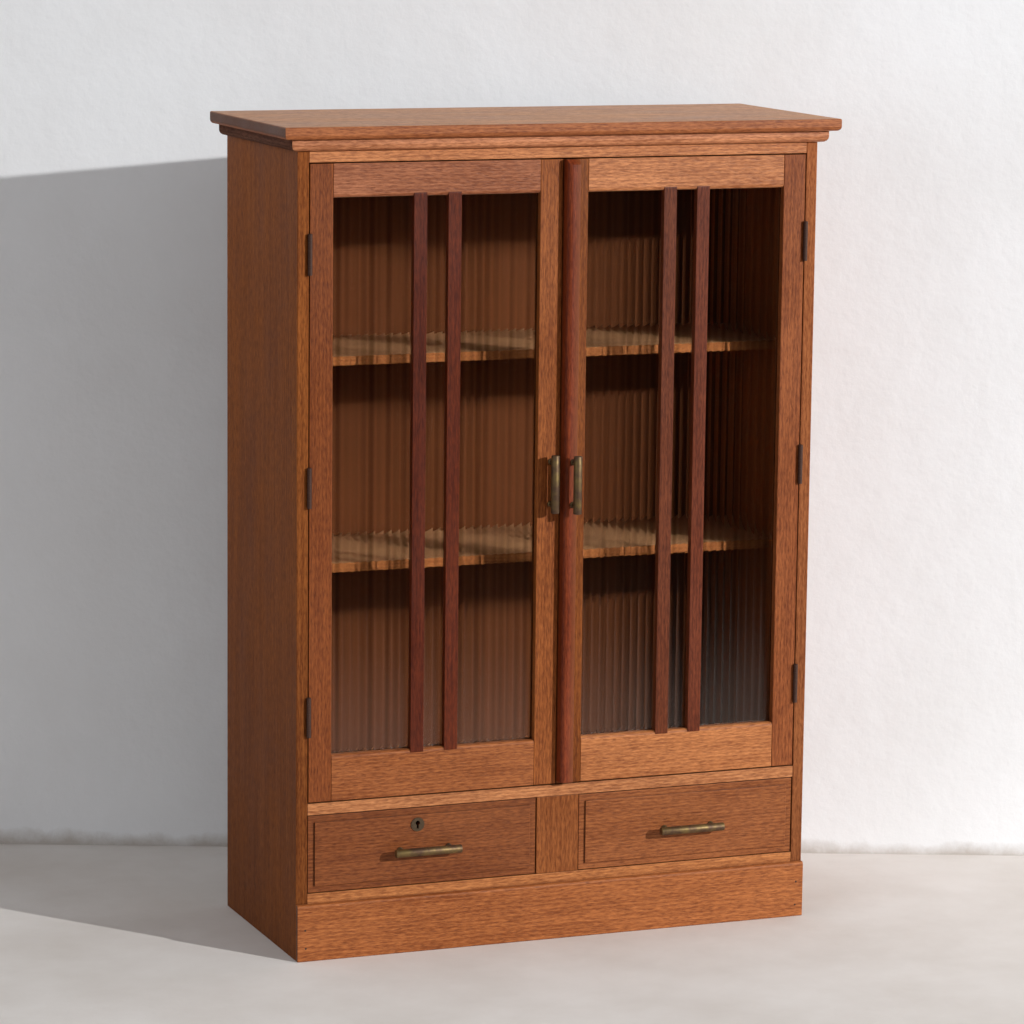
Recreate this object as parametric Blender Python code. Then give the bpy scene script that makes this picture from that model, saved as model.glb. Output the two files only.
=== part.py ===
# Display cabinet with two glazed doors over two drawers, in solid wood with brass and steel fittings.
# Metres, +Z up. The front faces -Y and the origin is on the ground under the middle of the cabinet.
import math

import bmesh
import bpy
from mathutils import Matrix, Vector

for leftover in list(bpy.data.objects):
    bpy.data.objects.remove(leftover, do_unlink=True)

# Clearances and small common sizes
FIT = 0.0003
CUT_OVERRUN = 0.002
EASED_EDGE = 0.0006

# Case
CASE_WIDTH = 0.900
CASE_DEPTH = 0.368
CASE_HEIGHT = 1.348
SIDE_THICKNESS = 0.019
BOARD_THICKNESS = 0.019
TONGUE_LENGTH = 0.006
TONGUE_SHOULDER = 0.004
TONGUE_SETBACK = 0.012
BOTTOM_BOARD_TOP = 0.110
DRAWER_BAY_HEIGHT = 0.130
PLINTH_BELOW_BOARD = 0.016
PLINTH_THICKNESS = 0.009
PLINTH_ROUND = 0.005
BACK_THICKNESS = 0.010
BACK_RECESS = 0.012
BACK_REBATE = 0.008

# Top board and cornice moulding
TOP_THICKNESS = 0.020
TOP_OVERHANG_SIDES = 0.0295
TOP_OVERHANG_FRONT = 0.029
TOP_ARRIS_ROUND = 0.0025
TOP_UNDERSIDE_ROUND = 0.007
MOULDING_HEIGHT = 0.019
MOULDING_PROJECTION = 0.014
MOULDING_ROUND = 0.009
TOP_RAIL_HEIGHT = 0.0375
TOP_RAIL_THICKNESS = 0.034
DOOR_STOP_LIP = 0.008

# Shelves
SHELF_THICKNESS = 0.015
SHELF_SETBACK = 0.088
LOWER_SHELF_RISE = 0.3745
UPPER_SHELF_RISE = 0.712

# Doors
DOOR_THICKNESS = 0.022
DOOR_SIDE_GAP = 0.0017
DOOR_MEETING_GAP = 0.0016
DOOR_BOTTOM_GAP = 0.0022
DOOR_TOP_GAP = 0.002
STILE_WIDTH = 0.0385
RIGHT_MEETING_STILE_WIDTH = 0.0425
DOOR_TOP_RAIL_HEIGHT = 0.054
DOOR_BOTTOM_RAIL_HEIGHT = 0.076
RAIL_ARRIS_ROUND = 0.0055
GLASS_SETBACK = 0.012
GLASS_REBATE = 0.008
TENON_THICKNESS = 0.006
TENON_LENGTH = 0.025
TENON_SHOULDER = 0.012

# Glazing bars, glass and beads
BAR_WIDTH = 0.022
BAR_SPREAD = 0.0292
BAR_PROUD = 0.0006
GLASS_THICKNESS = 0.004
GLASS_PLAY = 0.001
REED_PITCH = 0.0142
REED_DEPTH = 0.0012
REED_STEPS = 4

# Meeting strip on the right door
STRIP_WIDTH = 0.022
STRIP_PROJECTION = 0.019
STRIP_ROUND = 0.0088
STRIP_SMALL_ARRIS = 0.0012
STRIP_TOP_CHAMFER = 0.008
STRIP_FOOT_GAP = 0.004

# Hinges
HINGE_LENGTH = 0.065
HINGE_KNUCKLES = 5
HINGE_KNUCKLE_RADIUS = 0.0036
HINGE_PIN_RADIUS = 0.0016
HINGE_LEAF_THICKNESS = 0.0014
HINGE_LEAF_WIDTH = 0.018
HINGE_LEAF_SPACING = 0.0007
LOW_HINGE_RISE = 0.1405
HIGH_HINGE_DROP = 0.1425

# Handles
HANDLE_BAR_RADIUS = 0.0064
HANDLE_END_ROUND = 0.0012
HANDLE_POST_RADIUS = 0.0036
HANDLE_FOOT_RADIUS = 0.0052
HANDLE_FOOT_THICKNESS = 0.0018
DOOR_HANDLE_LENGTH = 0.095
DOOR_HANDLE_POST_SPACING = 0.070
DOOR_HANDLE_STANDOFF = 0.021
DOOR_HANDLE_FROM_EDGE = 0.0152
DOOR_HANDLE_RISE = 0.502
DRAWER_HANDLE_LENGTH = 0.114
DRAWER_HANDLE_POST_SPACING = 0.084
DRAWER_HANDLE_STANDOFF = 0.0215
DRAWER_HANDLE_OFFSET = 0.0015
DRAWER_HANDLE_DROP = 0.0043

# Drawers and their divider
DIVIDER_WIDTH = 0.074
DIVIDER_OFFSET = 0.004
DIVIDER_THICKNESS = 0.022
GUIDE_HEIGHT = 0.020
DRAWER_END_GAP = 0.0014
DRAWER_BOTTOM_GAP = 0.001
DRAWER_TOP_GAP = 0.0015
DRAWER_FRONT_THICKNESS = 0.019
DRAWER_BORDER_WIDTH = 0.011
DRAWER_BORDER_SETBACK = 0.002
DRAWER_FIELD_PROUD = 0.0015
DRAWER_BACK_GAP = 0.026
DRAWER_SIDE_THICKNESS = 0.010
DRAWER_SIDE_TOP_GAP = 0.0117
DRAWER_BACK_DROP = 0.004
DRAWER_BOTTOM_THICKNESS = 0.006
DRAWER_BOTTOM_RISE = 0.010
GROOVE_DEPTH = 0.005
TAIL_COUNT = 3
TAIL_LENGTH = 0.011
TAIL_FLARE = 0.002
TAIL_WIDTH_SHARE = 0.68

# Lock of the left drawer
KEYHOLE_OFFSET = 0.0105
KEYHOLE_BELOW_TOP = 0.0245
KEYHOLE_EYE_RADIUS = 0.0038
KEYHOLE_SLOT_WIDTH = 0.0034
KEYHOLE_SLOT_DROP = 0.0095
ESCUTCHEON_RADIUS = 0.0115
ESCUTCHEON_THICKNESS = 0.0012
ESCUTCHEON_DROP = 0.0025
LOCK_CASE_WIDTH = 0.050
LOCK_CASE_HEIGHT = 0.038
LOCK_CASE_THICKNESS = 0.011
LOCK_CASE_TOP_GAP = 0.0005
LOCK_KEYWAY_DEPTH = 0.0075
BOLT_WIDTH = 0.020
BOLT_THICKNESS = 0.005
BOLT_LENGTH = 0.009
BOLT_MORTICE_DEPTH = 0.009
BOLT_MORTICE_PLAY = 0.0015

# Round pieces
FINE_SIDES = 16
SMALL_SIDES = 12
ROUND_STEPS = 4
ROUND_SHARE = 0.5
SMOOTH_ANGLE = math.radians(40)
SHARP_ANGLE = math.radians(50)
QUARTER_TURN = math.radians(90)
HALF_TURN = math.radians(180)

# Places that follow from the sizes
STRIP_HANDLE_REACH = STRIP_PROJECTION + DOOR_HANDLE_STANDOFF + HANDLE_BAR_RADIUS
DRAWER_HANDLE_REACH = DRAWER_FIELD_PROUD + DRAWER_HANDLE_STANDOFF + HANDLE_BAR_RADIUS
FRONT_REACH = max(TOP_OVERHANG_FRONT, STRIP_HANDLE_REACH, DRAWER_HANDLE_REACH)
Y_FRONT = (FRONT_REACH - CASE_DEPTH) / 2
Y_BACK = Y_FRONT + CASE_DEPTH
HALF_WIDTH = CASE_WIDTH / 2
INSIDE = HALF_WIDTH - SIDE_THICKNESS
BACK_OUTER = Y_BACK - BACK_RECESS
BACK_INNER = BACK_OUTER - BACK_THICKNESS
UNDER_TOP = CASE_HEIGHT - TOP_THICKNESS
PLINTH_HEIGHT = BOTTOM_BOARD_TOP - PLINTH_BELOW_BOARD
RAIL_UNDERSIDE = UNDER_TOP - TOP_RAIL_HEIGHT
BOTTOM_BOARD_UNDERSIDE = BOTTOM_BOARD_TOP - BOARD_THICKNESS
FLOOR_UNDERSIDE = BOTTOM_BOARD_TOP + DRAWER_BAY_HEIGHT
FLOOR_TOP = FLOOR_UNDERSIDE + BOARD_THICKNESS
LOWER_SHELF_TOP = FLOOR_TOP + LOWER_SHELF_RISE
UPPER_SHELF_TOP = FLOOR_TOP + UPPER_SHELF_RISE
DOOR_BOTTOM = FLOOR_TOP + DOOR_BOTTOM_GAP
DOOR_TOP = RAIL_UNDERSIDE - DOOR_TOP_GAP
DOOR_BACK = Y_FRONT + DOOR_THICKNESS
REBATE_FACE = Y_FRONT + GLASS_SETBACK
OPENING_BOTTOM = DOOR_BOTTOM + DOOR_BOTTOM_RAIL_HEIGHT
OPENING_TOP = DOOR_TOP - DOOR_TOP_RAIL_HEIGHT
HINGE_X = INSIDE - DOOR_SIDE_GAP / 2
HINGE_Y = Y_FRONT - HINGE_KNUCKLE_RADIUS - FIT
HINGE_LEAF_ROOT = HINGE_KNUCKLE_RADIUS + 2 * FIT
LOW_HINGE = DOOR_BOTTOM + LOW_HINGE_RISE
HIGH_HINGE = DOOR_TOP - HIGH_HINGE_DROP
HINGE_LEVELS = [LOW_HINGE, (LOW_HINGE + HIGH_HINGE) / 2, HIGH_HINGE]
LEAF_FACE = HINGE_LEAF_SPACING / 2
LEAF_BACK = LEAF_FACE + HINGE_LEAF_THICKNESS
SIDE_NAMES = {-1: "left", 1: "right"}


# Materials

def material(name, colour, roughness, metallic=0.0, transmission=0.0):
    finish = bpy.data.materials.new(name)
    finish.use_nodes = True
    shader = finish.node_tree.nodes["Principled BSDF"]
    shader.inputs["Base Color"].default_value = (*colour, 1.0)
    shader.inputs["Roughness"].default_value = roughness
    shader.inputs["Metallic"].default_value = metallic
    shader.inputs["Transmission Weight"].default_value = transmission
    finish.diffuse_color = (*colour, 1.0)
    return finish


CASE_WOOD = material("case_wood", (0.34, 0.13, 0.05), 0.5)
BAR_WOOD = material("bar_wood", (0.15, 0.04, 0.02), 0.45)
INNER_WOOD = material("inner_wood", (0.36, 0.18, 0.08), 0.6)
LINING_WOOD = material("lining_wood", (0.50, 0.34, 0.19), 0.6)
REEDED_GLASS = material("reeded_glass", (0.80, 0.85, 0.82), 0.05, 0.0, 1.0)
AGED_BRASS = material("aged_brass", (0.28, 0.22, 0.10), 0.35, 1.0)
DARK_STEEL = material("dark_steel", (0.05, 0.04, 0.035), 0.5, 1.0)


# Shaping helpers

def arc(centre, radius, start, end, steps=ROUND_STEPS):
    """Points of a round stretch, its angles in degrees, with both ends."""
    turns = [math.radians(start + (end - start) * step / steps) for step in range(steps + 1)]
    return [(centre[0] + radius * math.cos(turn), centre[1] + radius * math.sin(turn)) for turn in turns]


def lifted(outline, axis, distance):
    """An outline's corners in space, on the plane at this distance along the axis."""
    if axis == "X":
        return [(distance, first, second) for first, second in outline]
    if axis == "Y":
        return [(first, distance, second) for first, second in outline]
    return [(first, second, distance) for first, second in outline]


def placed(name, form, place, finish):
    """The object of a finished form, whose origin is at the place."""
    bmesh.ops.recalc_face_normals(form, faces=form.faces)
    mesh = bpy.data.meshes.new(name)
    form.to_mesh(mesh)
    form.free()
    mesh.materials.append(finish)
    piece = bpy.data.objects.new(name, mesh)
    piece.location = place
    bpy.context.scene.collection.objects.link(piece)
    return piece


def ease_edges(form, size, chosen=None):
    """Takes the sharpness off the convex edges, or rounds the chosen ones."""
    edges = [edge for edge in form.edges if edge.is_convex and edge.calc_face_angle(0) > SHARP_ANGLE]
    if chosen is not None:
        edges = [edge for edge in edges if chosen(edge)]
    steps = 1 if chosen is None else ROUND_STEPS
    bmesh.ops.bevel(form, geom=edges, offset=size, segments=steps, profile=ROUND_SHARE, affect="EDGES")


def solid(name, first, last, finish, eased=True):
    """A closed piece between two rings of matching corners, with its origin at its middle."""
    corners = [Vector(corner) for corner in list(first) + list(last)]
    low = Vector([min(corner[axis] for corner in corners) for axis in range(3)])
    high = Vector([max(corner[axis] for corner in corners) for axis in range(3)])
    middle = (low + high) / 2
    form = bmesh.new()
    points = [form.verts.new(corner - middle) for corner in corners]
    count = len(first)
    form.faces.new(points[:count])
    form.faces.new(points[count:])
    for here in range(count):
        after = (here + 1) % count
        form.faces.new((points[here], points[after], points[count + after], points[count + here]))
    bmesh.ops.recalc_face_normals(form, faces=form.faces)
    if eased:
        ease_edges(form, EASED_EDGE)
    return placed(name, form, middle, finish)


def prism(name, outline, axis, span, finish, eased=True):
    """An outline drawn out along an axis over a span."""
    start, end = sorted(span)
    return solid(name, lifted(outline, axis, start), lifted(outline, axis, end), finish, eased)


def board(name, x_span, y_span, z_span, finish, eased=True):
    """A straight board with its edges eased."""
    x_low, x_high = sorted(x_span)
    y_low, y_high = sorted(y_span)
    outline = [(x_low, y_low), (x_high, y_low), (x_high, y_high), (x_low, y_high)]
    return prism(name, outline, "Z", z_span, finish, eased)


def turned(name, profile, sides, finish, hollow=False):
    """A profile of radius and height turned about the piece's own Z axis."""
    form = bmesh.new()
    angles = [2 * math.pi * side / sides for side in range(sides)]
    rings = []
    for radius, height in profile:
        corners = [(radius * math.cos(angle), radius * math.sin(angle), height) for angle in angles]
        rings.append([form.verts.new(corner) for corner in corners])
    pairs = list(zip(rings, rings[1:]))
    if hollow:
        pairs.append((rings[-1], rings[0]))
    else:
        form.faces.new(rings[0])
        form.faces.new(rings[-1])
    for below, above in pairs:
        for here in range(sides):
            after = (here + 1) % sides
            form.faces.new((below[here], below[after], above[after], above[here]))
    return placed(name, form, (0, 0, 0), finish)


def place_of(piece):
    return Matrix.LocRotScale(piece.location, piece.rotation_euler, None)


def combine(piece, tool, operation):
    """Joins the tool to the piece, or cuts it out of the piece."""
    tool.name = f"{piece.name}_tool"
    tool.hide_render = True
    tool.display_type = "WIRE"
    tool.parent = piece
    tool.matrix_parent_inverse = place_of(piece).inverted()
    step = piece.modifiers.new(operation.lower(), "BOOLEAN")
    step.operation = operation
    step.object = tool


def cut_box(piece, x_span, y_span, z_span):
    tool = board("cut", x_span, y_span, z_span, CASE_WOOD, eased=False)
    combine(piece, tool, "DIFFERENCE")


def add_box(piece, x_span, y_span, z_span, eased=False):
    tool = board("added", x_span, y_span, z_span, CASE_WOOD, eased)
    combine(piece, tool, "UNION")


def shade_round(mesh):
    mesh.shade_smooth()
    mesh.set_sharp_from_angle(angle=SMOOTH_ANGLE)


def finished_mesh(piece):
    """A pattern piece as one mesh, with its cuts, joins and place in it. The pattern itself goes."""
    depsgraph = bpy.context.evaluated_depsgraph_get()
    mesh = bpy.data.meshes.new_from_object(piece.evaluated_get(depsgraph))
    mesh.transform(place_of(piece))
    for tool in list(piece.children):
        bpy.data.objects.remove(tool, do_unlink=True)
    bpy.data.objects.remove(piece, do_unlink=True)
    shade_round(mesh)
    return mesh


def copy_of(mesh, name, place, turn=(0, 0, 0)):
    piece = bpy.data.objects.new(name, mesh)
    piece.location = place
    piece.rotation_euler = turn
    bpy.context.scene.collection.objects.link(piece)
    return piece


def hang(pieces, name, place):
    """Hangs moving pieces on an empty at their joint."""
    joint = bpy.data.objects.new(name, None)
    joint.location = place
    bpy.context.scene.collection.objects.link(joint)
    for piece in pieces:
        piece.parent = joint
        piece.matrix_parent_inverse = Matrix.Translation(place).inverted()


# Case

SHELF_FRONT = Y_FRONT + SHELF_SETBACK
HOUSED_BOARDS = (
    ("bottom_board", Y_FRONT, BOTTOM_BOARD_TOP, BOARD_THICKNESS, CASE_WOOD),
    ("cabinet_floor", Y_FRONT, FLOOR_TOP, BOARD_THICKNESS, CASE_WOOD),
    ("shelf_lower", SHELF_FRONT, LOWER_SHELF_TOP, SHELF_THICKNESS, INNER_WOOD),
    ("shelf_upper", SHELF_FRONT, UPPER_SHELF_TOP, SHELF_THICKNESS, INNER_WOOD),
)


def side_panel(side):
    """A side panel with housings for the boards, a rebate for the back and pockets for the hinges."""
    name = f"side_panel_{SIDE_NAMES[side]}"
    x_span = (side * INSIDE, side * HALF_WIDTH)
    panel = board(name, x_span, (Y_FRONT, Y_BACK), (0, UNDER_TOP - FIT), CASE_WOOD)
    housing = (side * (INSIDE - CUT_OVERRUN), side * (INSIDE + TONGUE_LENGTH))
    for _, front, top, thickness, _ in HOUSED_BOARDS:
        z_low = top - thickness + TONGUE_SHOULDER - FIT
        z_high = top - TONGUE_SHOULDER + FIT
        cut_box(panel, housing, (front + TONGUE_SETBACK - FIT, BACK_INNER), (z_low, z_high))
    rebate = (side * (INSIDE - CUT_OVERRUN), side * (INSIDE + BACK_REBATE))
    z_span = (BOTTOM_BOARD_UNDERSIDE - FIT, UNDER_TOP + CUT_OVERRUN)
    cut_box(panel, rebate, (BACK_INNER - FIT, Y_BACK + CUT_OVERRUN), z_span)
    pocket = (side * (INSIDE - CUT_OVERRUN), side * (HINGE_X + LEAF_BACK + FIT))
    hinge_pockets(panel, pocket)


def hinge_pockets(piece, x_span):
    y_span = (Y_FRONT - CUT_OVERRUN, Y_FRONT + HINGE_LEAF_WIDTH + 2 * FIT)
    reach = HINGE_LENGTH / 2 + FIT
    for level in HINGE_LEVELS:
        cut_box(piece, x_span, y_span, (level - reach, level + reach))


def housed_boards():
    """The boards between the sides, each with a tongue at its ends that goes into a stopped housing."""
    boards = {}
    tip = INSIDE + TONGUE_LENGTH - FIT
    for name, front, top, thickness, finish in HOUSED_BOARDS:
        back = BACK_INNER - FIT
        shelf = board(name, (FIT - INSIDE, INSIDE - FIT), (front, back), (top - thickness, top), finish)
        z_span = (top - thickness + TONGUE_SHOULDER, top - TONGUE_SHOULDER)
        add_box(shelf, (-tip, tip), (front + TONGUE_SETBACK, back - TONGUE_SHOULDER), z_span)
        boards[name] = shelf
    return boards


def top_board():
    """The top board, its front and end edges rounded a little above and more below."""
    reach = HALF_WIDTH + TOP_OVERHANG_SIDES
    y_low = Y_FRONT - TOP_OVERHANG_FRONT
    size = Vector((2 * reach, Y_BACK - y_low, TOP_THICKNESS))
    middle = Vector((0, (y_low + Y_BACK) / 2, UNDER_TOP + TOP_THICKNESS / 2))
    form = bmesh.new()
    bmesh.ops.create_cube(form, size=1)
    bmesh.ops.scale(form, vec=size, verts=form.verts)

    def open_edge(edge, above):
        centre = (edge.verts[0].co + edge.verts[1].co) / 2
        level = abs(edge.verts[0].co.z - edge.verts[1].co.z) < FIT
        return level and (centre.z > 0) == above and centre.y < size.y / 2 - FIT

    ease_edges(form, TOP_UNDERSIDE_ROUND, lambda edge: open_edge(edge, False))
    ease_edges(form, TOP_ARRIS_ROUND, lambda edge: open_edge(edge, True))
    top = placed("top_board", form, middle, CASE_WOOD)
    shade_round(top.data)


def moulding_profile():
    """The cornice moulding's section: how far it stands out, and its height."""
    underside = UNDER_TOP - MOULDING_HEIGHT
    centre = (MOULDING_PROJECTION - MOULDING_ROUND, underside + MOULDING_ROUND)
    face = [(MOULDING_PROJECTION, UNDER_TOP - FIT), (FIT, UNDER_TOP - FIT), (FIT, underside)]
    return arc(centre, MOULDING_ROUND, -90, 0) + face


def cornice_moulding():
    """Three lengths of moulding under the top board, mitred at the front corners."""
    profile = moulding_profile()
    ease = FIT / math.sqrt(2)
    left = [(-HALF_WIDTH - out + ease, Y_FRONT - out, level) for out, level in profile]
    right = [(HALF_WIDTH + out - ease, Y_FRONT - out, level) for out, level in profile]
    lengths = [solid("cornice_moulding_front", left, right, CASE_WOOD, eased=False)]
    for side, word in SIDE_NAMES.items():
        front = [(side * (HALF_WIDTH + out), Y_FRONT - out + ease, level) for out, level in profile]
        back = [(side * (HALF_WIDTH + out), Y_BACK, level) for out, level in profile]
        lengths.append(solid(f"cornice_moulding_{word}", front, back, CASE_WOOD, eased=False))
    for length in lengths:
        shade_round(length.data)


def top_rail():
    """The rail under the top board, with the lip behind it that stops the doors."""
    lip_face = DOOR_BACK + FIT
    back = Y_FRONT + TOP_RAIL_THICKNESS
    lip_foot = RAIL_UNDERSIDE - DOOR_STOP_LIP
    under = [(Y_FRONT, RAIL_UNDERSIDE), (lip_face, RAIL_UNDERSIDE), (lip_face, lip_foot), (back, lip_foot)]
    outline = under + [(back, UNDER_TOP - FIT), (Y_FRONT, UNDER_TOP - FIT)]
    prism("top_rail", outline, "X", (FIT - INSIDE, INSIDE - FIT), CASE_WOOD)


def drawer_divider():
    """The upright between the drawers, with the guide that runs back from it along the bottom board."""
    foot = BOTTOM_BOARD_TOP + FIT
    head = FLOOR_UNDERSIDE - FIT
    post_back = Y_FRONT + DIVIDER_THICKNESS
    guide_top = foot + GUIDE_HEIGHT
    guide = [(BACK_INNER - FIT, foot), (BACK_INNER - FIT, guide_top), (post_back, guide_top)]
    outline = [(Y_FRONT, foot)] + guide + [(post_back, head), (Y_FRONT, head)]
    span = (DIVIDER_OFFSET - DIVIDER_WIDTH / 2, DIVIDER_OFFSET + DIVIDER_WIDTH / 2)
    prism("drawer_divider", outline, "X", span, CASE_WOOD)


def plinth_board():
    """The plinth planted on the front of the case, its top arris rounded."""
    face = Y_FRONT - PLINTH_THICKNESS
    centre = (face + PLINTH_ROUND, PLINTH_HEIGHT - PLINTH_ROUND)
    outline = [(Y_FRONT - FIT, 0), (Y_FRONT - FIT, PLINTH_HEIGHT)]
    outline += arc(centre, PLINTH_ROUND, 90, 180) + [(face, 0)]
    plinth = prism("plinth_board", outline, "X", (-HALF_WIDTH, HALF_WIDTH), CASE_WOOD)
    shade_round(plinth.data)


def back_panel():
    reach = INSIDE + BACK_REBATE - FIT
    z_span = (BOTTOM_BOARD_UNDERSIDE, UNDER_TOP - FIT)
    board("back_panel", (-reach, reach), (BACK_INNER, BACK_OUTER), z_span, LINING_WOOD)


# Doors

TENON_MIDDLE = Y_FRONT + GLASS_SETBACK / 2
TENON_SPANS = (
    (DOOR_BOTTOM + TENON_SHOULDER, OPENING_BOTTOM - TENON_SHOULDER),
    (OPENING_TOP + TENON_SHOULDER, DOOR_TOP - TENON_SHOULDER),
)


def stile(name, edge, opening, pocketed):
    """An upright of a door from its edge to the glass opening, morticed and rebated."""
    upright = board(name, (edge, opening), (Y_FRONT, DOOR_BACK), (DOOR_BOTTOM, DOOR_TOP), CASE_WOOD)
    inward = math.copysign(1, opening - edge)
    rebate = (opening - inward * GLASS_REBATE, opening + inward * CUT_OVERRUN)
    z_span = (OPENING_BOTTOM - GLASS_REBATE, OPENING_TOP + GLASS_REBATE)
    cut_box(upright, rebate, (REBATE_FACE, DOOR_BACK + CUT_OVERRUN), z_span)
    mortice = (opening - inward * (TENON_LENGTH + FIT), opening + inward * CUT_OVERRUN)
    cheek = TENON_THICKNESS / 2 + FIT
    for low, high in TENON_SPANS:
        cut_box(upright, mortice, (TENON_MIDDLE - cheek, TENON_MIDDLE + cheek), (low - FIT, high + FIT))
    if pocketed:
        outward = -inward
        hinge_pockets(upright, (edge + outward * CUT_OVERRUN, outward * (HINGE_X - LEAF_BACK - FIT)))
    return upright


def rail(name, x_span, outer, inner, tenon_span):
    """A cross rail of a door, its front arris rounded towards the glass, with a tenon at each end."""
    way = math.copysign(1, inner - outer)
    centre = (Y_FRONT + RAIL_ARRIS_ROUND, inner - way * RAIL_ARRIS_ROUND)
    step = inner - way * GLASS_REBATE
    outline = [(Y_FRONT, outer), (DOOR_BACK, outer), (DOOR_BACK, step), (REBATE_FACE, step)]
    outline += [(REBATE_FACE, inner)] + arc(centre, RAIL_ARRIS_ROUND, way * 90, way * 180)
    cross = prism(name, outline, "X", (x_span[0] + FIT, x_span[1] - FIT), CASE_WOOD)
    shade_round(cross.data)
    reach = (x_span[0] - TENON_LENGTH, x_span[1] + TENON_LENGTH)
    cheek = TENON_THICKNESS / 2
    add_box(cross, reach, (TENON_MIDDLE - cheek, TENON_MIDDLE + cheek), tenon_span)
    return cross


def glazing_bar(name, middle):
    """A bar over the glass, its ends cut to fit over the rounded arrises of the rails."""
    face = Y_FRONT - BAR_PROUD
    rise = RAIL_ARRIS_ROUND
    foot = arc((Y_FRONT + rise, OPENING_BOTTOM - rise), rise + FIT, 180, 90)
    head = arc((Y_FRONT + rise, OPENING_TOP + rise), rise + FIT, 270, 180)
    back = [(REBATE_FACE, OPENING_BOTTOM + FIT), (REBATE_FACE, OPENING_TOP - FIT)]
    outline = [(face, OPENING_BOTTOM - rise)] + foot + back + head + [(face, OPENING_TOP + rise)]
    return prism(name, outline, "X", (middle - BAR_WIDTH / 2, middle + BAR_WIDTH / 2), BAR_WOOD, eased=False)


def reeded_glass(name, x_span):
    """The pane: flat behind, with a row of round reeds on its face."""
    low = x_span[0] - GLASS_REBATE + GLASS_PLAY
    high = x_span[1] + GLASS_REBATE - GLASS_PLAY
    count = round((high - low) / REED_PITCH)
    pitch = (high - low) / count
    crest = REBATE_FACE + FIT
    back = crest + GLASS_THICKNESS
    outline = []
    for step in range(count * REED_STEPS + 1):
        across = step / REED_STEPS % 1
        outline.append((low + pitch * step / REED_STEPS, crest + REED_DEPTH * (2 * across - 1) ** 2))
    outline += [(high, back), (low, back)]
    z_span = (OPENING_BOTTOM - GLASS_REBATE + GLASS_PLAY, OPENING_TOP + GLASS_REBATE - GLASS_PLAY)
    pane = prism(name, outline, "Z", z_span, REEDED_GLASS, eased=False)
    shade_round(pane.data)
    return pane


def glazing_beads(name, x_span):
    """The ring of beads behind the glass."""
    reach = GLASS_REBATE - FIT
    y_span = (REBATE_FACE + GLASS_THICKNESS + 2 * FIT, DOOR_BACK)
    x_outer = (x_span[0] - reach, x_span[1] + reach)
    ring = board(name, x_outer, y_span, (OPENING_BOTTOM - reach, OPENING_TOP + reach), CASE_WOOD, eased=False)
    through = (y_span[0] - CUT_OVERRUN, y_span[1] + CUT_OVERRUN)
    cut_box(ring, x_span, through, (OPENING_BOTTOM, OPENING_TOP))
    return ring


def meeting_strip(edge):
    """The nosing on the right door's meeting stile, round on its left and chamfered at its head."""
    back = Y_FRONT - FIT
    face = Y_FRONT - STRIP_PROJECTION
    right = edge + STRIP_WIDTH
    small = STRIP_SMALL_ARRIS
    outline = [(edge, back)] + arc((edge + STRIP_ROUND, face + STRIP_ROUND), STRIP_ROUND, 180, 270)
    outline += arc((right - small, face + small), small, 270, 360, 2) + [(right, back)]
    z_span = (DOOR_BOTTOM + STRIP_FOOT_GAP, DOOR_TOP)
    strip = prism("meeting_strip", outline, "Z", z_span, BAR_WOOD, eased=False)
    shade_round(strip.data)
    over = CUT_OVERRUN
    depth = STRIP_TOP_CHAMFER
    wedge = [(face - over, DOOR_TOP - depth - over), (face + depth + over, DOOR_TOP + over)]
    wedge.append((face - over, DOOR_TOP + over))
    tool = prism("cut", wedge, "X", (edge - over, right + over), BAR_WOOD, eased=False)
    combine(strip, tool, "DIFFERENCE")
    return strip


def door(side, handle_mesh, leaf_mesh):
    """One door with everything that swings with it."""
    name = f"door_{SIDE_NAMES[side]}"
    hinge_edge = side * (INSIDE - DOOR_SIDE_GAP)
    meeting_edge = side * DOOR_MEETING_GAP / 2
    meeting_width = RIGHT_MEETING_STILE_WIDTH if side > 0 else STILE_WIDTH
    outer = hinge_edge - side * STILE_WIDTH
    inner = meeting_edge + side * meeting_width
    opening = sorted((outer, inner))
    middle = (outer + inner) / 2
    pieces = [
        stile(f"{name}_hinge_stile", hinge_edge, outer, True),
        stile(f"{name}_meeting_stile", meeting_edge, inner, False),
        rail(f"{name}_bottom_rail", opening, DOOR_BOTTOM, OPENING_BOTTOM, TENON_SPANS[0]),
        rail(f"{name}_top_rail", opening, DOOR_TOP, OPENING_TOP, TENON_SPANS[1]),
        glazing_bar(f"{name}_bar_outer", middle + side * BAR_SPREAD),
        glazing_bar(f"{name}_bar_inner", middle - side * BAR_SPREAD),
        reeded_glass(f"{name}_glass", opening),
        glazing_beads(f"{name}_glazing_beads", opening),
    ]
    handle_x = meeting_edge + side * DOOR_HANDLE_FROM_EDGE
    handle_y = Y_FRONT
    if side > 0:
        pieces.append(meeting_strip(meeting_edge))
        handle_x = meeting_edge + (STRIP_ROUND + STRIP_WIDTH - STRIP_SMALL_ARRIS) / 2
        handle_y = Y_FRONT - STRIP_PROJECTION
    place = (handle_x, handle_y, DOOR_BOTTOM + DOOR_HANDLE_RISE)
    pieces.append(copy_of(handle_mesh, f"{name}_handle", place))
    for number, (level, turn) in enumerate(hinge_places(side), start=1):
        place = (side * HINGE_X, HINGE_Y, level)
        pieces.append(copy_of(leaf_mesh, f"{name}_hinge_{number}_door_leaf", place, turn))
    hang(pieces, f"{name}_axis", (side * HINGE_X, HINGE_Y, DOOR_BOTTOM))


# Hinges

def hinge_places(side):
    """Each hinge's height and turn. The right-hand ones are the left-hand ones turned over."""
    turn = (0, HALF_TURN, 0) if side > 0 else (0, 0, 0)
    return [(level, turn) for level in HINGE_LEVELS]


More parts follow.
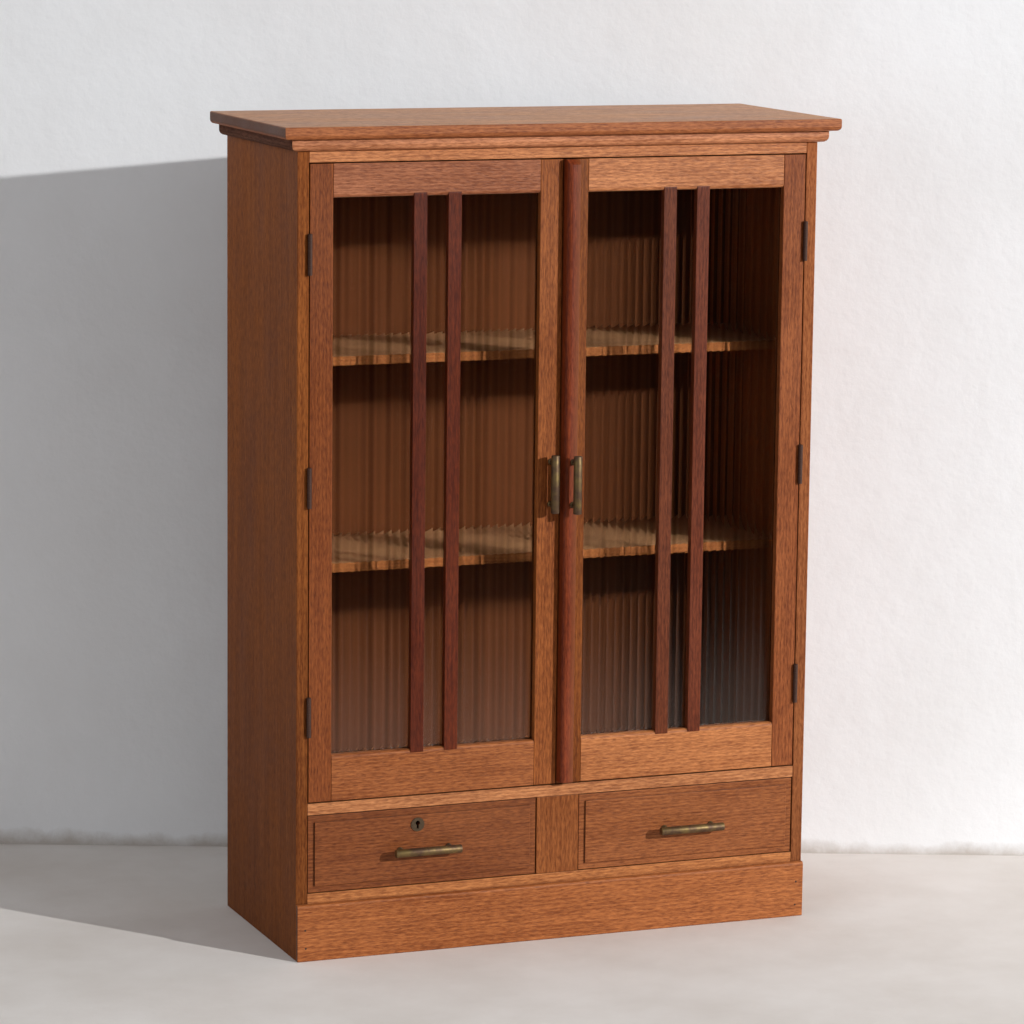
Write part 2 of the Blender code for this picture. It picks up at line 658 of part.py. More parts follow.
def knuckle_spans(owned):
    """The heights of a leaf's own knuckles, each a little short of its neighbours."""
    length = HINGE_LENGTH / HINGE_KNUCKLES
    spans = []
    for number in range(HINGE_KNUCKLES):
        if number % 2 != owned:
            continue
        low = -HINGE_LENGTH / 2 + number * length
        low_ease = FIT / 2 if number > 0 else 0
        high_ease = FIT / 2 if number < HINGE_KNUCKLES - 1 else 0
        spans.append((low + low_ease, low + length - high_ease))
    return spans


def hinge_leaf(name, side, spans, finger_root):
    """A leaf's plate with a finger to each of its knuckles, about the pin's axis."""
    far = HINGE_LEAF_ROOT + HINGE_LEAF_WIDTH
    outline = [(far, -HINGE_LENGTH / 2), (far, HINGE_LENGTH / 2), (HINGE_LEAF_ROOT, HINGE_LENGTH / 2)]
    for low, high in reversed(spans):
        outline += [(HINGE_LEAF_ROOT, high), (finger_root, high), (finger_root, low), (HINGE_LEAF_ROOT, low)]
    outline.append((HINGE_LEAF_ROOT, -HINGE_LENGTH / 2))
    corners = [point for here, point in enumerate(outline) if point != outline[here - 1]]
    leaf = prism(name, corners, "X", (side * LEAF_FACE, side * LEAF_BACK), DARK_STEEL, eased=False)
    return leaf


def fixed_leaf_mesh():
    """The case's leaf with its knuckles, and the pin through all of them."""
    spans = knuckle_spans(0)
    leaf = hinge_leaf("fixed_leaf", -1, spans, 0)
    profile = []
    for low, high in spans:
        profile += [(HINGE_PIN_RADIUS, low), (HINGE_KNUCKLE_RADIUS, low)]
        profile += [(HINGE_KNUCKLE_RADIUS, high), (HINGE_PIN_RADIUS, high)]
    combine(leaf, turned("barrel", profile[1:-1], FINE_SIDES, DARK_STEEL), "UNION")
    return finished_mesh(leaf)


def door_leaf_mesh():
    """The door's leaf, whose knuckles turn freely on the pin."""
    spans = knuckle_spans(1)
    bore = HINGE_PIN_RADIUS + FIT
    leaf = hinge_leaf("door_leaf", 1, spans, (bore + HINGE_KNUCKLE_RADIUS) / 2)
    for low, high in spans:
        outer = [(HINGE_KNUCKLE_RADIUS, low), (HINGE_KNUCKLE_RADIUS, high)]
        ring = turned("knuckle", outer + [(bore, high), (bore, low)], FINE_SIDES, DARK_STEEL, hollow=True)
        combine(leaf, ring, "UNION")
    return finished_mesh(leaf)


def fixed_leaves():
    mesh = fixed_leaf_mesh()
    for side, word in SIDE_NAMES.items():
        for number, (level, turn) in enumerate(hinge_places(side), start=1):
            name = f"door_{word}_hinge_{number}_fixed_leaf"
            copy_of(mesh, name, (side * HINGE_X, HINGE_Y, level), turn)


# Handles

def handle_mesh(length, post_spacing, standoff, upright):
    """A round bar on two turned posts, about the point on the face midway between the posts."""
    small = HANDLE_END_ROUND
    end = length / 2
    profile = [(HANDLE_BAR_RADIUS - small, -end), (HANDLE_BAR_RADIUS, small - end)]
    profile += [(HANDLE_BAR_RADIUS, end - small), (HANDLE_BAR_RADIUS - small, end)]
    handle = turned("handle", profile, FINE_SIDES, AGED_BRASS)
    handle.location = (0, -standoff, 0)
    if not upright:
        handle.rotation_euler = (0, QUARTER_TURN, 0)
    foot = HANDLE_FOOT_THICKNESS
    post_profile = [(HANDLE_FOOT_RADIUS, FIT), (HANDLE_FOOT_RADIUS, foot)]
    post_profile += [(HANDLE_POST_RADIUS, foot + HANDLE_FOOT_RADIUS - HANDLE_POST_RADIUS)]
    post_profile += [(HANDLE_POST_RADIUS, standoff)]
    for shift in (-post_spacing / 2, post_spacing / 2):
        post = turned("post", post_profile, SMALL_SIDES, AGED_BRASS)
        post.location = (0, 0, shift) if upright else (shift, 0, 0)
        post.rotation_euler = (QUARTER_TURN, 0, 0)
        combine(handle, post, "UNION")
    return finished_mesh(handle)


# Drawers

def drawer_span(side):
    """The width of a drawer's front, between the case and the divider."""
    wall = side * (INSIDE - DRAWER_END_GAP)
    divider = DIVIDER_OFFSET + side * (DIVIDER_WIDTH / 2 + DRAWER_END_GAP)
    return sorted((wall, divider))


DRAWER_FACE = Y_FRONT + DRAWER_BORDER_SETBACK
DRAWER_FRONT_BACK = DRAWER_FACE + DRAWER_FRONT_THICKNESS
DRAWER_END = BACK_INNER - DRAWER_BACK_GAP
DRAWER_FRONT_FOOT = BOTTOM_BOARD_TOP + DRAWER_BOTTOM_GAP
DRAWER_FRONT_HEAD = FLOOR_UNDERSIDE - DRAWER_TOP_GAP
DRAWER_SIDE_FOOT = BOTTOM_BOARD_TOP + FIT
DRAWER_SIDE_HEAD = FLOOR_UNDERSIDE - DRAWER_SIDE_TOP_GAP
DRAWER_SIDE_HEIGHT = DRAWER_SIDE_HEAD - DRAWER_SIDE_FOOT
DRAWER_BOTTOM_LOW = DRAWER_SIDE_FOOT + DRAWER_BOTTOM_RISE
DRAWER_BOTTOM_HIGH = DRAWER_BOTTOM_LOW + DRAWER_BOTTOM_THICKNESS
GROOVE_SPAN = (DRAWER_BOTTOM_LOW - FIT, DRAWER_BOTTOM_HIGH + FIT)
KEYHOLE_X = sum(drawer_span(-1)) / 2 - KEYHOLE_OFFSET
KEYHOLE_Z = DRAWER_FRONT_HEAD - KEYHOLE_BELOW_TOP
LOCK_FACE = DRAWER_FRONT_BACK + FIT
LOCK_TOP = DRAWER_FRONT_HEAD - LOCK_CASE_TOP_GAP
BOLT_MIDDLE = LOCK_FACE + LOCK_CASE_THICKNESS / 2
FIELD_FACE = Y_FRONT - DRAWER_FIELD_PROUD


def tongued_outline(x_span, tongue, y_span, tongue_start):
    """A drawer's bottom seen from above, its sides wider behind the plain stretch in the front's groove."""
    x_low, x_high = x_span
    y_low, y_high = y_span
    front = [(x_low, y_low), (x_high, y_low), (x_high, tongue_start), (x_high + tongue, tongue_start)]
    back = [(x_high + tongue, y_high), (x_low - tongue, y_high)]
    return front + back + [(x_low - tongue, tongue_start), (x_low, tongue_start)]


def dovetailed_outline(shoulder, back, grow):
    """A drawer side seen from the side, with its tails at the front and grown by a clearance."""
    pitch = DRAWER_SIDE_HEIGHT / TAIL_COUNT
    half_tip = pitch * TAIL_WIDTH_SHARE / 2 + grow
    half_root = half_tip - TAIL_FLARE
    tip = DRAWER_FRONT_BACK - TAIL_LENGTH - grow
    outline = [(back, DRAWER_SIDE_HEAD + grow), (back, DRAWER_SIDE_FOOT - grow)]
    outline.append((shoulder, DRAWER_SIDE_FOOT - grow))
    for number in range(TAIL_COUNT):
        middle = DRAWER_SIDE_FOOT + (number + 1 / 2) * pitch
        outline += [(shoulder, middle - half_root), (tip, middle - half_tip)]
        outline += [(tip, middle + half_tip), (shoulder, middle + half_root)]
    outline.append((shoulder, DRAWER_SIDE_HEAD + grow))
    return outline


def drawer_front(name, span):
    """A drawer front with its raised field, socketed for the sides and grooved for the bottom."""
    heights = (DRAWER_FRONT_FOOT, DRAWER_FRONT_HEAD)
    front = board(name, span, (DRAWER_FACE, DRAWER_FRONT_BACK), heights, CASE_WOOD)
    border = DRAWER_BORDER_WIDTH
    field_x = (span[0] + border, span[1] - border)
    field_y = (FIELD_FACE, DRAWER_FRONT_BACK - TAIL_LENGTH - 2 * FIT)
    add_box(front, field_x, field_y, (heights[0] + border, heights[1] - border), eased=True)
    sockets = dovetailed_outline(DRAWER_FRONT_BACK + CUT_OVERRUN, DRAWER_FRONT_BACK + 2 * CUT_OVERRUN, FIT)
    wall = DRAWER_SIDE_THICKNESS + FIT
    for ends in ((span[0] - CUT_OVERRUN, span[0] + wall), (span[1] - wall, span[1] + CUT_OVERRUN)):
        tool = prism("cut", sockets, "X", ends, CASE_WOOD, eased=False)
        combine(front, tool, "DIFFERENCE")
    groove_x = (span[0] + DRAWER_SIDE_THICKNESS, span[1] - DRAWER_SIDE_THICKNESS)
    cut_box(front, groove_x, (DRAWER_FRONT_BACK - GROOVE_DEPTH, DRAWER_FRONT_BACK + CUT_OVERRUN), GROOVE_SPAN)
    return front


def drawer_side(name, outer, inward):
    """A drawer side with its tails and the groove for the bottom."""
    shoulder = DRAWER_FRONT_BACK + FIT
    inner = outer + inward * DRAWER_SIDE_THICKNESS
    outline = dovetailed_outline(shoulder, DRAWER_END, 0)
    wall = prism(name, outline, "X", (outer, inner), LINING_WOOD, eased=False)
    groove_x = (inner - inward * GROOVE_DEPTH, inner + inward * CUT_OVERRUN)
    cut_box(wall, groove_x, (shoulder, DRAWER_END + CUT_OVERRUN), GROOVE_SPAN)
    return wall


def drawer(side, handle):
    """One drawer with its handle."""
    name = f"drawer_{SIDE_NAMES[side]}"
    span = drawer_span(side)
    front = drawer_front(f"{name}_front", span)
    pieces = [
        front,
        drawer_side(f"{name}_side_left", span[0], 1),
        drawer_side(f"{name}_side_right", span[1], -1),
    ]
    inside = (span[0] + DRAWER_SIDE_THICKNESS + FIT, span[1] - DRAWER_SIDE_THICKNESS - FIT)
    back_y = (DRAWER_END - DRAWER_SIDE_THICKNESS, DRAWER_END - FIT)
    back_z = (DRAWER_BOTTOM_HIGH + FIT, DRAWER_SIDE_HEAD - DRAWER_BACK_DROP)
    pieces.append(board(f"{name}_back", inside, back_y, back_z, LINING_WOOD))
    bottom_y = (DRAWER_FRONT_BACK - GROOVE_DEPTH + FIT, DRAWER_END)
    outline = tongued_outline(inside, GROOVE_DEPTH, bottom_y, DRAWER_FRONT_BACK + 2 * FIT)
    heights = (DRAWER_BOTTOM_LOW, DRAWER_BOTTOM_HIGH)
    pieces.append(prism(f"{name}_bottom", outline, "Z", heights, LINING_WOOD, eased=False))
    middle = sum(span) / 2 + DRAWER_HANDLE_OFFSET
    level = (DRAWER_FRONT_FOOT + DRAWER_FRONT_HEAD) / 2 - DRAWER_HANDLE_DROP
    pieces.append(copy_of(handle, f"{name}_handle", (middle, FIELD_FACE, level)))
    if side < 0:
        pieces += lock(front)
    hang(pieces, f"{name}_slide", (sum(span) / 2, DRAWER_FACE, DRAWER_SIDE_FOOT))


# Lock

def keyhole(name, y_span):
    """The keyhole's shape: a round eye over a straight slot."""
    half = KEYHOLE_SLOT_WIDTH / 2
    corner = math.degrees(math.asin(half / KEYHOLE_EYE_RADIUS))
    eye = arc((KEYHOLE_X, KEYHOLE_Z), KEYHOLE_EYE_RADIUS, corner - 90, 270 - corner, SMALL_SIDES)
    foot = KEYHOLE_Z - KEYHOLE_SLOT_DROP
    outline = eye + [(KEYHOLE_X - half, foot), (KEYHOLE_X + half, foot)]
    return prism(name, outline, "Y", y_span, DARK_STEEL, eased=False)


def lock(front):
    """The escutcheon, the lock's case behind the drawer front, and the bolt that shoots up out of it."""
    over = CUT_OVERRUN
    hole = (FIELD_FACE - over, DRAWER_FRONT_BACK + over)
    combine(front, keyhole("cut", hole), "DIFFERENCE")
    plate_back = FIELD_FACE - FIT
    plate_face = plate_back - ESCUTCHEON_THICKNESS
    centre = (KEYHOLE_X, KEYHOLE_Z - ESCUTCHEON_DROP)
    rim = arc(centre, ESCUTCHEON_RADIUS, 0, 360, 2 * SMALL_SIDES)[:-1]
    escutcheon = prism("escutcheon", rim, "Y", (plate_face, plate_back), AGED_BRASS, eased=False)
    shade_round(escutcheon.data)
    combine(escutcheon, keyhole("cut", (plate_face - over, plate_back + over)), "DIFFERENCE")
    half = LOCK_CASE_WIDTH / 2
    case_y = (LOCK_FACE, LOCK_FACE + LOCK_CASE_THICKNESS)
    case_x = (KEYHOLE_X - half, KEYHOLE_X + half)
    case = board("lock_case", case_x, case_y, (LOCK_TOP - LOCK_CASE_HEIGHT, LOCK_TOP), AGED_BRASS)
    half = BOLT_WIDTH / 2
    thin = BOLT_THICKNESS / 2
    slot_x = (KEYHOLE_X - half - FIT, KEYHOLE_X + half + FIT)
    slot_y = (BOLT_MIDDLE - thin - FIT, BOLT_MIDDLE + thin + FIT)
    cut_box(case, slot_x, slot_y, (LOCK_TOP - BOLT_LENGTH - FIT, LOCK_TOP + over))
    combine(case, keyhole("cut", (LOCK_FACE - over, LOCK_FACE + LOCK_KEYWAY_DEPTH)), "DIFFERENCE")
    bolt_x = (KEYHOLE_X - half, KEYHOLE_X + half)
    bolt_y = (BOLT_MIDDLE - thin, BOLT_MIDDLE + thin)
    bolt = board("lock_bolt", bolt_x, bolt_y, (LOCK_TOP - BOLT_LENGTH, LOCK_TOP), AGED_BRASS)
    return [escutcheon, case, bolt]


def bolt_mortice(floor):
    """The mortice in the underside of the cabinet floor that takes the bolt."""
    reach_x = BOLT_WIDTH / 2 + BOLT_MORTICE_PLAY
    reach_y = BOLT_THICKNESS / 2 + BOLT_MORTICE_PLAY
    x_span = (KEYHOLE_X - reach_x, KEYHOLE_X + reach_x)
    z_span = (FLOOR_UNDERSIDE - CUT_OVERRUN, FLOOR_UNDERSIDE + BOLT_MORTICE_DEPTH)
    cut_box(floor, x_span, (BOLT_MIDDLE - reach_y, BOLT_MIDDLE + reach_y), z_span)


# Assembly

door_handle = handle_mesh(DOOR_HANDLE_LENGTH, DOOR_HANDLE_POST_SPACING, DOOR_HANDLE_STANDOFF, True)
drawer_handle = handle_mesh(DRAWER_HANDLE_LENGTH, DRAWER_HANDLE_POST_SPACING, DRAWER_HANDLE_STANDOFF, False)
door_leaf = door_leaf_mesh()
fixed_leaves()
for this_side in SIDE_NAMES:
    side_panel(this_side)
    door(this_side, door_handle, door_leaf)
    drawer(this_side, drawer_handle)
case_boards = housed_boards()
bolt_mortice(case_boards["cabinet_floor"])
top_board()
cornice_moulding()
top_rail()
drawer_divider()
plinth_board()
back_panel()
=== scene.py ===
# A teak display cabinet: two doors of reeded glass over two drawers, in metres with +Z up.
# The sections follow the cabinet as it is put together, then come the room, the lamps and the camera.
import math

import bmesh
import bpy
from mathutils import Matrix, Vector


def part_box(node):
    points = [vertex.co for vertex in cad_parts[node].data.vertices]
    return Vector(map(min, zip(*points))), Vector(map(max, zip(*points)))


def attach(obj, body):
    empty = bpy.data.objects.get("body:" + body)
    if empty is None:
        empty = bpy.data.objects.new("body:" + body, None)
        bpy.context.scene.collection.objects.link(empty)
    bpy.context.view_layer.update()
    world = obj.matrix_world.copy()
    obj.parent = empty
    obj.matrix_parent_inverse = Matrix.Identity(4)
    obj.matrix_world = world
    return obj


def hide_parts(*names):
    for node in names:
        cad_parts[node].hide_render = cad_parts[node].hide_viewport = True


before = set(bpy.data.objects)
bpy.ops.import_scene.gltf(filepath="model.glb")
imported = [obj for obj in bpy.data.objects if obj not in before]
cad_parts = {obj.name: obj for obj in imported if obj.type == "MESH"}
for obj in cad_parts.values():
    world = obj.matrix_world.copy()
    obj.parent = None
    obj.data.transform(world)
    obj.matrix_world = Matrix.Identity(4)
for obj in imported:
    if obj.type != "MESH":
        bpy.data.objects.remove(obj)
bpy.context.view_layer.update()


# Case: two side panels, the boards tongued into them, the rail over the doors and the upright between
# the drawers. Solid teak, planed, oiled and long since darkened, each board from its own part of a log.

RING_SPACING = 0.006
RING_BEND = 0.060
RING_SQUEEZE = 0.2
FIBRE_WIDTH = 0.0022
BAND_WIDTH = 6 * FIBRE_WIDTH
PORE_WIDTH = 0.0017
CLOUD_SIZE = 0.09
GRAIN_DEPTH = 0.0002
ARRIS_ROUNDING = 0.0012
DIRT_AND_SHADE_REACH = 0.005
EDGE_SAMPLES = 4
FOOT_SHADE_HEIGHT = 1.2
FOOT_SHADE_LEVEL = 0.66
GRAIN = {"X": (1, 0, 0), "Y": (0, 1, 0), "Z": (0, 0, 1)}
# A wave texture draws this many waves to each unit of its scale.
WAVES_PER_UNIT = 20 / math.tau
# Each mark's width across the grain, its squeeze along the grain, which makes it long, and the detail and
# grit of its noise.
WOOD_MARKS = {
    "fibres": (FIBRE_WIDTH, 0.16, 3, 0.6),
    "bands": (BAND_WIDTH, 0.06, 3, 0.6),
    "clouds": (CLOUD_SIZE, 0.35, 3, 0.5),
    "pores": (PORE_WIDTH, 0.13, 2, 0.5),
}
# How much each mark counts in the mix of dark and pale wood, and the level that the mix starts from.
FIGURE_WEIGHTS = {"rings": 0.25, "fibres": 2.0, "bands": 0.9, "clouds": 0.75}
FIGURE_START = -1.5
PORE_SHARE = 0.5
MORE_POLISHED = 0.06
LESS_POLISHED = 0.08
# What the tint's red, green and blue lose in dark wood, gain in pale wood, and are multiplied by elsewhere.
DARK_LOSS = (0.42, 0.52, 0.58)
PALE_GAIN = (0.38, 0.48, 0.52)
PORE_SHADE = (0.34, 0.24, 0.18)
END_GRAIN_SHADE = (0.20, 0.19, 0.22)
RUBBED_AND_LIT_SHADE = (1.7, 1.75, 1.8)
DIRT_AND_SHADE = (0.16, 0.12, 0.10)


def linear(hex_colour):
    """An sRGB hex colour as linear red, green, blue and alpha."""
    parts = [int(hex_colour[here:here + 2], 16) / 255 for here in (1, 3, 5)]
    return (*[part / 12.92 if part <= 0.04045 else ((part + 0.055) / 1.055) ** 2.4 for part in parts], 1)


def tinted(hex_colour, factors):
    """A hex colour as linear values, with its red, green and blue each changed by a factor."""
    return (*[part * factor for part, factor in zip(linear(hex_colour), factors)], 1)


def add(tree, kind, inputs=None, **settings):
    """Adds a node with its settings, and fills its inputs with values or links."""
    made = tree.nodes.new(kind)
    for name, value in settings.items():
        setattr(made, name, value)
    for socket, value in (inputs or {}).items():
        if isinstance(value, bpy.types.Node):
            value = value.outputs[0]
        if isinstance(value, bpy.types.NodeSocket):
            tree.links.new(value, made.inputs[socket])
        else:
            made.inputs[socket].default_value = value
    return made


def teak(name, along, tint, shift, roughness=0.42, gloss=0.2, marks=1.0):
    """Oiled teak with its grain along one axis: growth rings round a pith that lies off the board, long
    fibres, and open pores seen as short dark dashes. The pores are drawn about four times too wide,
    because real ones are too fine to show. End grain is darker. Arrises are painted paler, partly wear
    and partly a painted highlight, and corners and joints are painted darker, partly dark wax and dust
    and partly painted shade."""
    material = bpy.data.materials.new(name)
    material.use_nodes = True
    tree = material.node_tree
    shader = tree.nodes["Principled BSDF"]
    grain = GRAIN[along]
    spot = add(tree, "ShaderNodeTexCoord")
    place = add(tree, "ShaderNodeMapping", {"Vector": spot.outputs["Object"], "Location": shift})

    def squeezed(share):
        """The place on the board, drawn together along the grain."""
        scale = [share if part else 1 for part in grain]
        return add(tree, "ShaderNodeMapping", {"Vector": place, "Scale": scale})

    drawn = {"rings": add(tree, "ShaderNodeTexWave", {
        "Vector": squeezed(RING_SQUEEZE), "Scale": 1 / (WAVES_PER_UNIT * RING_SPACING), "Distortion": 5,
        "Detail": 3, "Detail Scale": WAVES_PER_UNIT * RING_SPACING / RING_BEND, "Detail Roughness": 0.55,
    }, wave_type="RINGS", rings_direction=along)}
    for mark, (width, share, detail, grit) in WOOD_MARKS.items():
        drawn[mark] = add(tree, "ShaderNodeTexNoise", {
            "Vector": squeezed(share), "Scale": 1 / width, "Detail": detail, "Roughness": grit})
    figure = FIGURE_START
    for mark, weight in FIGURE_WEIGHTS.items():
        figure = add(tree, "ShaderNodeMath", {
            0: drawn[mark], 1: weight, 2: figure}, operation="MULTIPLY_ADD")
    wood = add(tree, "ShaderNodeMix", {
        0: figure,
        6: tinted(tint, [1 - loss * marks for loss in DARK_LOSS]),
        7: tinted(tint, [1 + gain * marks for gain in PALE_GAIN]),
    }, data_type="RGBA")
    pores = add(tree, "ShaderNodeMapRange", {"Value": drawn["pores"], "From Min": 0.54, "From Max": 0.66})
    filled = add(tree, "ShaderNodeMath", {0: pores, 1: PORE_SHARE * marks}, operation="MULTIPLY")
    across = add(tree, "ShaderNodeVectorMath", {
        0: spot.outputs["Normal"], 1: grain}, operation="DOT_PRODUCT")
    across = add(tree, "ShaderNodeMath", {0: across.outputs["Value"]}, operation="ABSOLUTE")
    cut_end = add(tree, "ShaderNodeMapRange", {
        "Value": across, "From Min": 0.75, "From Max": 0.95, "To Max": 0.85})
    # Arrises are painted paler: partly wear, partly a painted highlight.
    round_arris = add(tree, "ShaderNodeBevel", {"Radius": ARRIS_ROUNDING}, samples=EDGE_SAMPLES)
    flat = add(tree, "ShaderNodeNewGeometry").outputs["True Normal"]
    turn = add(tree, "ShaderNodeVectorMath", {0: round_arris, 1: flat}, operation="DOT_PRODUCT")
    rubbed_and_lit = add(tree, "ShaderNodeMapRange", {
        "Value": turn.outputs["Value"], "From Min": 0.99, "From Max": 0.85, "To Max": 0.4})
    # Corners and joints are painted darker: partly dark wax and dust, partly painted shade.
    openness = add(tree, "ShaderNodeAmbientOcclusion", {"Distance": DIRT_AND_SHADE_REACH}, samples=EDGE_SAMPLES)
    dirt_and_shade = add(tree, "ShaderNodeMapRange", {
        "Value": openness.outputs["AO"], "From Min": 0.7, "From Max": 0.2, "To Max": 0.6})
    for share, shade in (
            (filled, PORE_SHADE), (cut_end, END_GRAIN_SHADE), (rubbed_and_lit, RUBBED_AND_LIT_SHADE), (dirt_and_shade, DIRT_AND_SHADE)):
        wood = add(tree, "ShaderNodeMix", {
            0: share, 6: wood.outputs[2], 7: tinted(tint, shade)}, data_type="RGBA")
    tree.links.new(wood.outputs[2], shader.inputs["Base Color"])
    polish = add(tree, "ShaderNodeMapRange", {
        "Value": drawn["clouds"], "From Min": 0.3, "From Max": 0.7,
        "To Min": roughness - MORE_POLISHED, "To Max": roughness + LESS_POLISHED})
    tree.links.new(polish.outputs[0], shader.inputs["Roughness"])
    hollow = add(tree, "ShaderNodeMath", {0: drawn["fibres"], 1: pores}, operation="SUBTRACT")
    bump = add(tree, "ShaderNodeBump", {
        "Strength": 0.5, "Distance": GRAIN_DEPTH, "Height": hollow, "Normal": round_arris})
    tree.links.new(bump.outputs[0], shader.inputs["Normal"])
    shader.inputs["Specular IOR Level"].default_value = gloss
    return material


def dress(material, *names):
    """Gives CAD nodes a material."""
    for name in names:
        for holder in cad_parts[name].material_slots:
            holder.material = material


def shaded_towards_floor(material):
    """Darkens a standing board little by little towards the floor: painted shade."""
    tree = material.node_tree
    base = tree.nodes["Principled BSDF"].inputs["Base Color"]
    place = add(tree, "ShaderNodeSeparateXYZ", {0: add(tree, "ShaderNodeTexCoord").outputs["Object"]})
    low = add(tree, "ShaderNodeMapRange", {
        "Value": place.outputs[2], "From Min": FOOT_SHADE_HEIGHT, "From Max": 0.0,
        "To Min": 1.0, "To Max": FOOT_SHADE_LEVEL})
    darker = add(tree, "ShaderNodeVectorMath", {
        0: base.links[0].from_socket, "Scale": low}, operation="SCALE")
    tree.links.new(darker.outputs[0], base)
    return material


# Both side panels are painted darker towards the floor, as painted shade.
for side, tint, shift in (("left", "#8B4D20", (0.23, 0.31, 0.1)), ("right", "#A05E35", (-0.11, 0.37, 0.5))):
    side_teak = teak(f"teak_side_{side}", "Z", tint, shift, roughness=0.6, gloss=0.1)
    dress(shaded_towards_floor(side_teak), f"side_panel_{side}")
dress(teak("teak_bottom_board", "X", "#B3703F", (0.4, 0.21, 0.17)), "bottom_board")
dress(teak("teak_cabinet_floor", "X", "#B47448", (0.9, 0.25, 0.33)), "cabinet_floor")
dress(teak("teak_divider", "Z", "#8F5126", (0.14, 0.29, 0.2)), "drawer_divider")
dress(teak("teak_top_rail", "X", "#C07B4C", (0.2, 0.33, 0.41)), "top_rail")


# Top: one wide board over the case, its front and ends rounded below, with a moulding under it that is
# mitred at the corners. Teak; its top is painted paler and greyer, partly worn and greyed by years of
# dusting and partly a painted sheen.

TOP_FADE_AND_SHEEN = (1.55, 2.35, 3.6)


def laid_over(material, share, colour):
    """Lays another colour over a material's own, as far as share says."""
    tree = material.node_tree
    base = tree.nodes["Principled BSDF"].inputs["Base Color"]
    mixed = add(tree, "ShaderNodeMix", {
        0: share, 6: base.links[0].from_socket, 7: colour}, data_type="RGBA")
    tree.links.new(mixed.outputs[2], base)


def faded_and_sheened_above(material, fade_and_sheen):
    """Pales the faces that look up: partly wood faded by dust and daylight, partly a painted sheen of the
    pale room. Red, green and blue are each raised by a factor, so that the grain still shows."""
    tree = material.node_tree
    base = tree.nodes["Principled BSDF"].inputs["Base Color"]
    upward = add(tree, "ShaderNodeSeparateXYZ", {0: add(tree, "ShaderNodeTexCoord").outputs["Normal"]})
    share = add(tree, "ShaderNodeMapRange", {"Value": upward.outputs[2], "From Min": 0.8, "From Max": 1.0})
    raised = add(tree, "ShaderNodeVectorMath", {
        0: base.links[0].from_socket, 1: fade_and_sheen}, operation="MULTIPLY")
    laid_over(material, share, raised)
    return material


top_teak = teak("teak_top_board", "X", "#A86338", (0.6, 0.35, -0.9), roughness=0.5, gloss=0.25)
dress(faded_and_sheened_above(top_teak, TOP_FADE_AND_SHEEN), "top_board")
dress(teak("teak_cornice_front", "X", "#C17E56", (0.3, 0.27, 0.6)), "cornice_moulding_front")
cornice_end_teak = teak("teak_cornice_ends", "Y", "#644030", (0.3, 0.4, 0.5), roughness=0.7, gloss=0.05)
dress(cornice_end_teak, "cornice_moulding_left", "cornice_moulding_right")


# Plinth: a thin board nailed to the front of the case with its top arris rounded. The nails are punched
# below the surface and filled dark.

PLINTH_NAILS = ((-0.437, 0.052), (-0.436, 0.022), (0.437, 0.060), (0.436, 0.020))
NAIL_FILL_RADIUS = 0.0017
NAIL_FILL_PROUD = 0.0001
ROUND_SIDES = 12
SMOOTH_ANGLE = math.radians(38)
FACING_FRONT = Matrix.Rotation(math.radians(90), 4, "X")
MOTTLE_SIZE = 0.003333
MOTTLE_CONTRAST = 0.4


def turned(form, profile, place, sides):
    """Adds a round solid to a form: a profile of radius and height, turned about Z and put in its place."""
    rings = []
    for radius, height in profile:
        angles = [math.tau * side / sides for side in range(sides)]
        rings.append([
            form.verts.new(place @ Vector((radius * math.cos(angle), radius * math.sin(angle), height)))
            for angle in angles])
    form.faces.new(rings[0])
    form.faces.new(rings[-1])
    for below, above in zip(rings, rings[1:]):
        for here in range(sides):
            after = (here + 1) % sides
            form.faces.new((below[here], below[after], above[after], above[here]))


def finished(name, mesh, material, body):
    """A new piece with its material, riding on a CAD body."""
    mesh.materials.clear()
    mesh.materials.append(material)
    piece = bpy.data.objects.new(name, mesh)
    bpy.context.scene.collection.objects.link(piece)
    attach(piece, body)
    return piece


def shaped(name, form, material, body):
    """A new piece from a form, rounded between its sharp edges."""
    bmesh.ops.recalc_face_normals(form, faces=form.faces)
    mesh = bpy.data.meshes.new(name)
    form.to_mesh(mesh)
    form.free()
    mesh.shade_smooth()
    mesh.set_sharp_from_angle(angle=SMOOTH_ANGLE)
    return finished(name, mesh, material, body)


def plain_finish(name, tint, roughness, metallic=0.0):
    """A plain finish, a little mottled, for a small piece that shows no pattern from a step away."""
    material = bpy.data.materials.new(name)
    material.use_nodes = True
    tree = material.node_tree
    shader = tree.nodes["Principled BSDF"]
    place = add(tree, "ShaderNodeTexCoord").outputs["Object"]
    mottle = add(tree, "ShaderNodeTexNoise", {"Vector": place, "Scale": 1 / MOTTLE_SIZE, "Detail": 3})
    colour = add(tree, "ShaderNodeMix", {
        0: mottle,
        6: tinted(tint, [1 - MOTTLE_CONTRAST] * 3),
        7: tinted(tint, [1 + MOTTLE_CONTRAST] * 3),
    }, data_type="RGBA")
    tree.links.new(colour.outputs[2], shader.inputs["Base Color"])
    shader.inputs["Roughness"].default_value = roughness
    shader.inputs["Metallic"].default_value = metallic
    return material


dress(teak("teak_plinth", "X", "#A46033", (0.1, 0.41, 0.3)), "plinth_board")
plinth_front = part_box("plinth_board")[0].y
nail_fill = [(NAIL_FILL_RADIUS, -NAIL_FILL_PROUD), (NAIL_FILL_RADIUS, NAIL_FILL_PROUD)]
form = bmesh.new()
for x, z in PLINTH_NAILS:
    turned(form, nail_fill, Matrix.Translation((x, plinth_front, z)) @ FACING_FRONT, ROUND_SIDES)
nail_filler = plain_finish("dark_nail_filler", "#3A2216", 0.8)
shaped("plinth_nail_fills", form, nail_filler, "carcass")


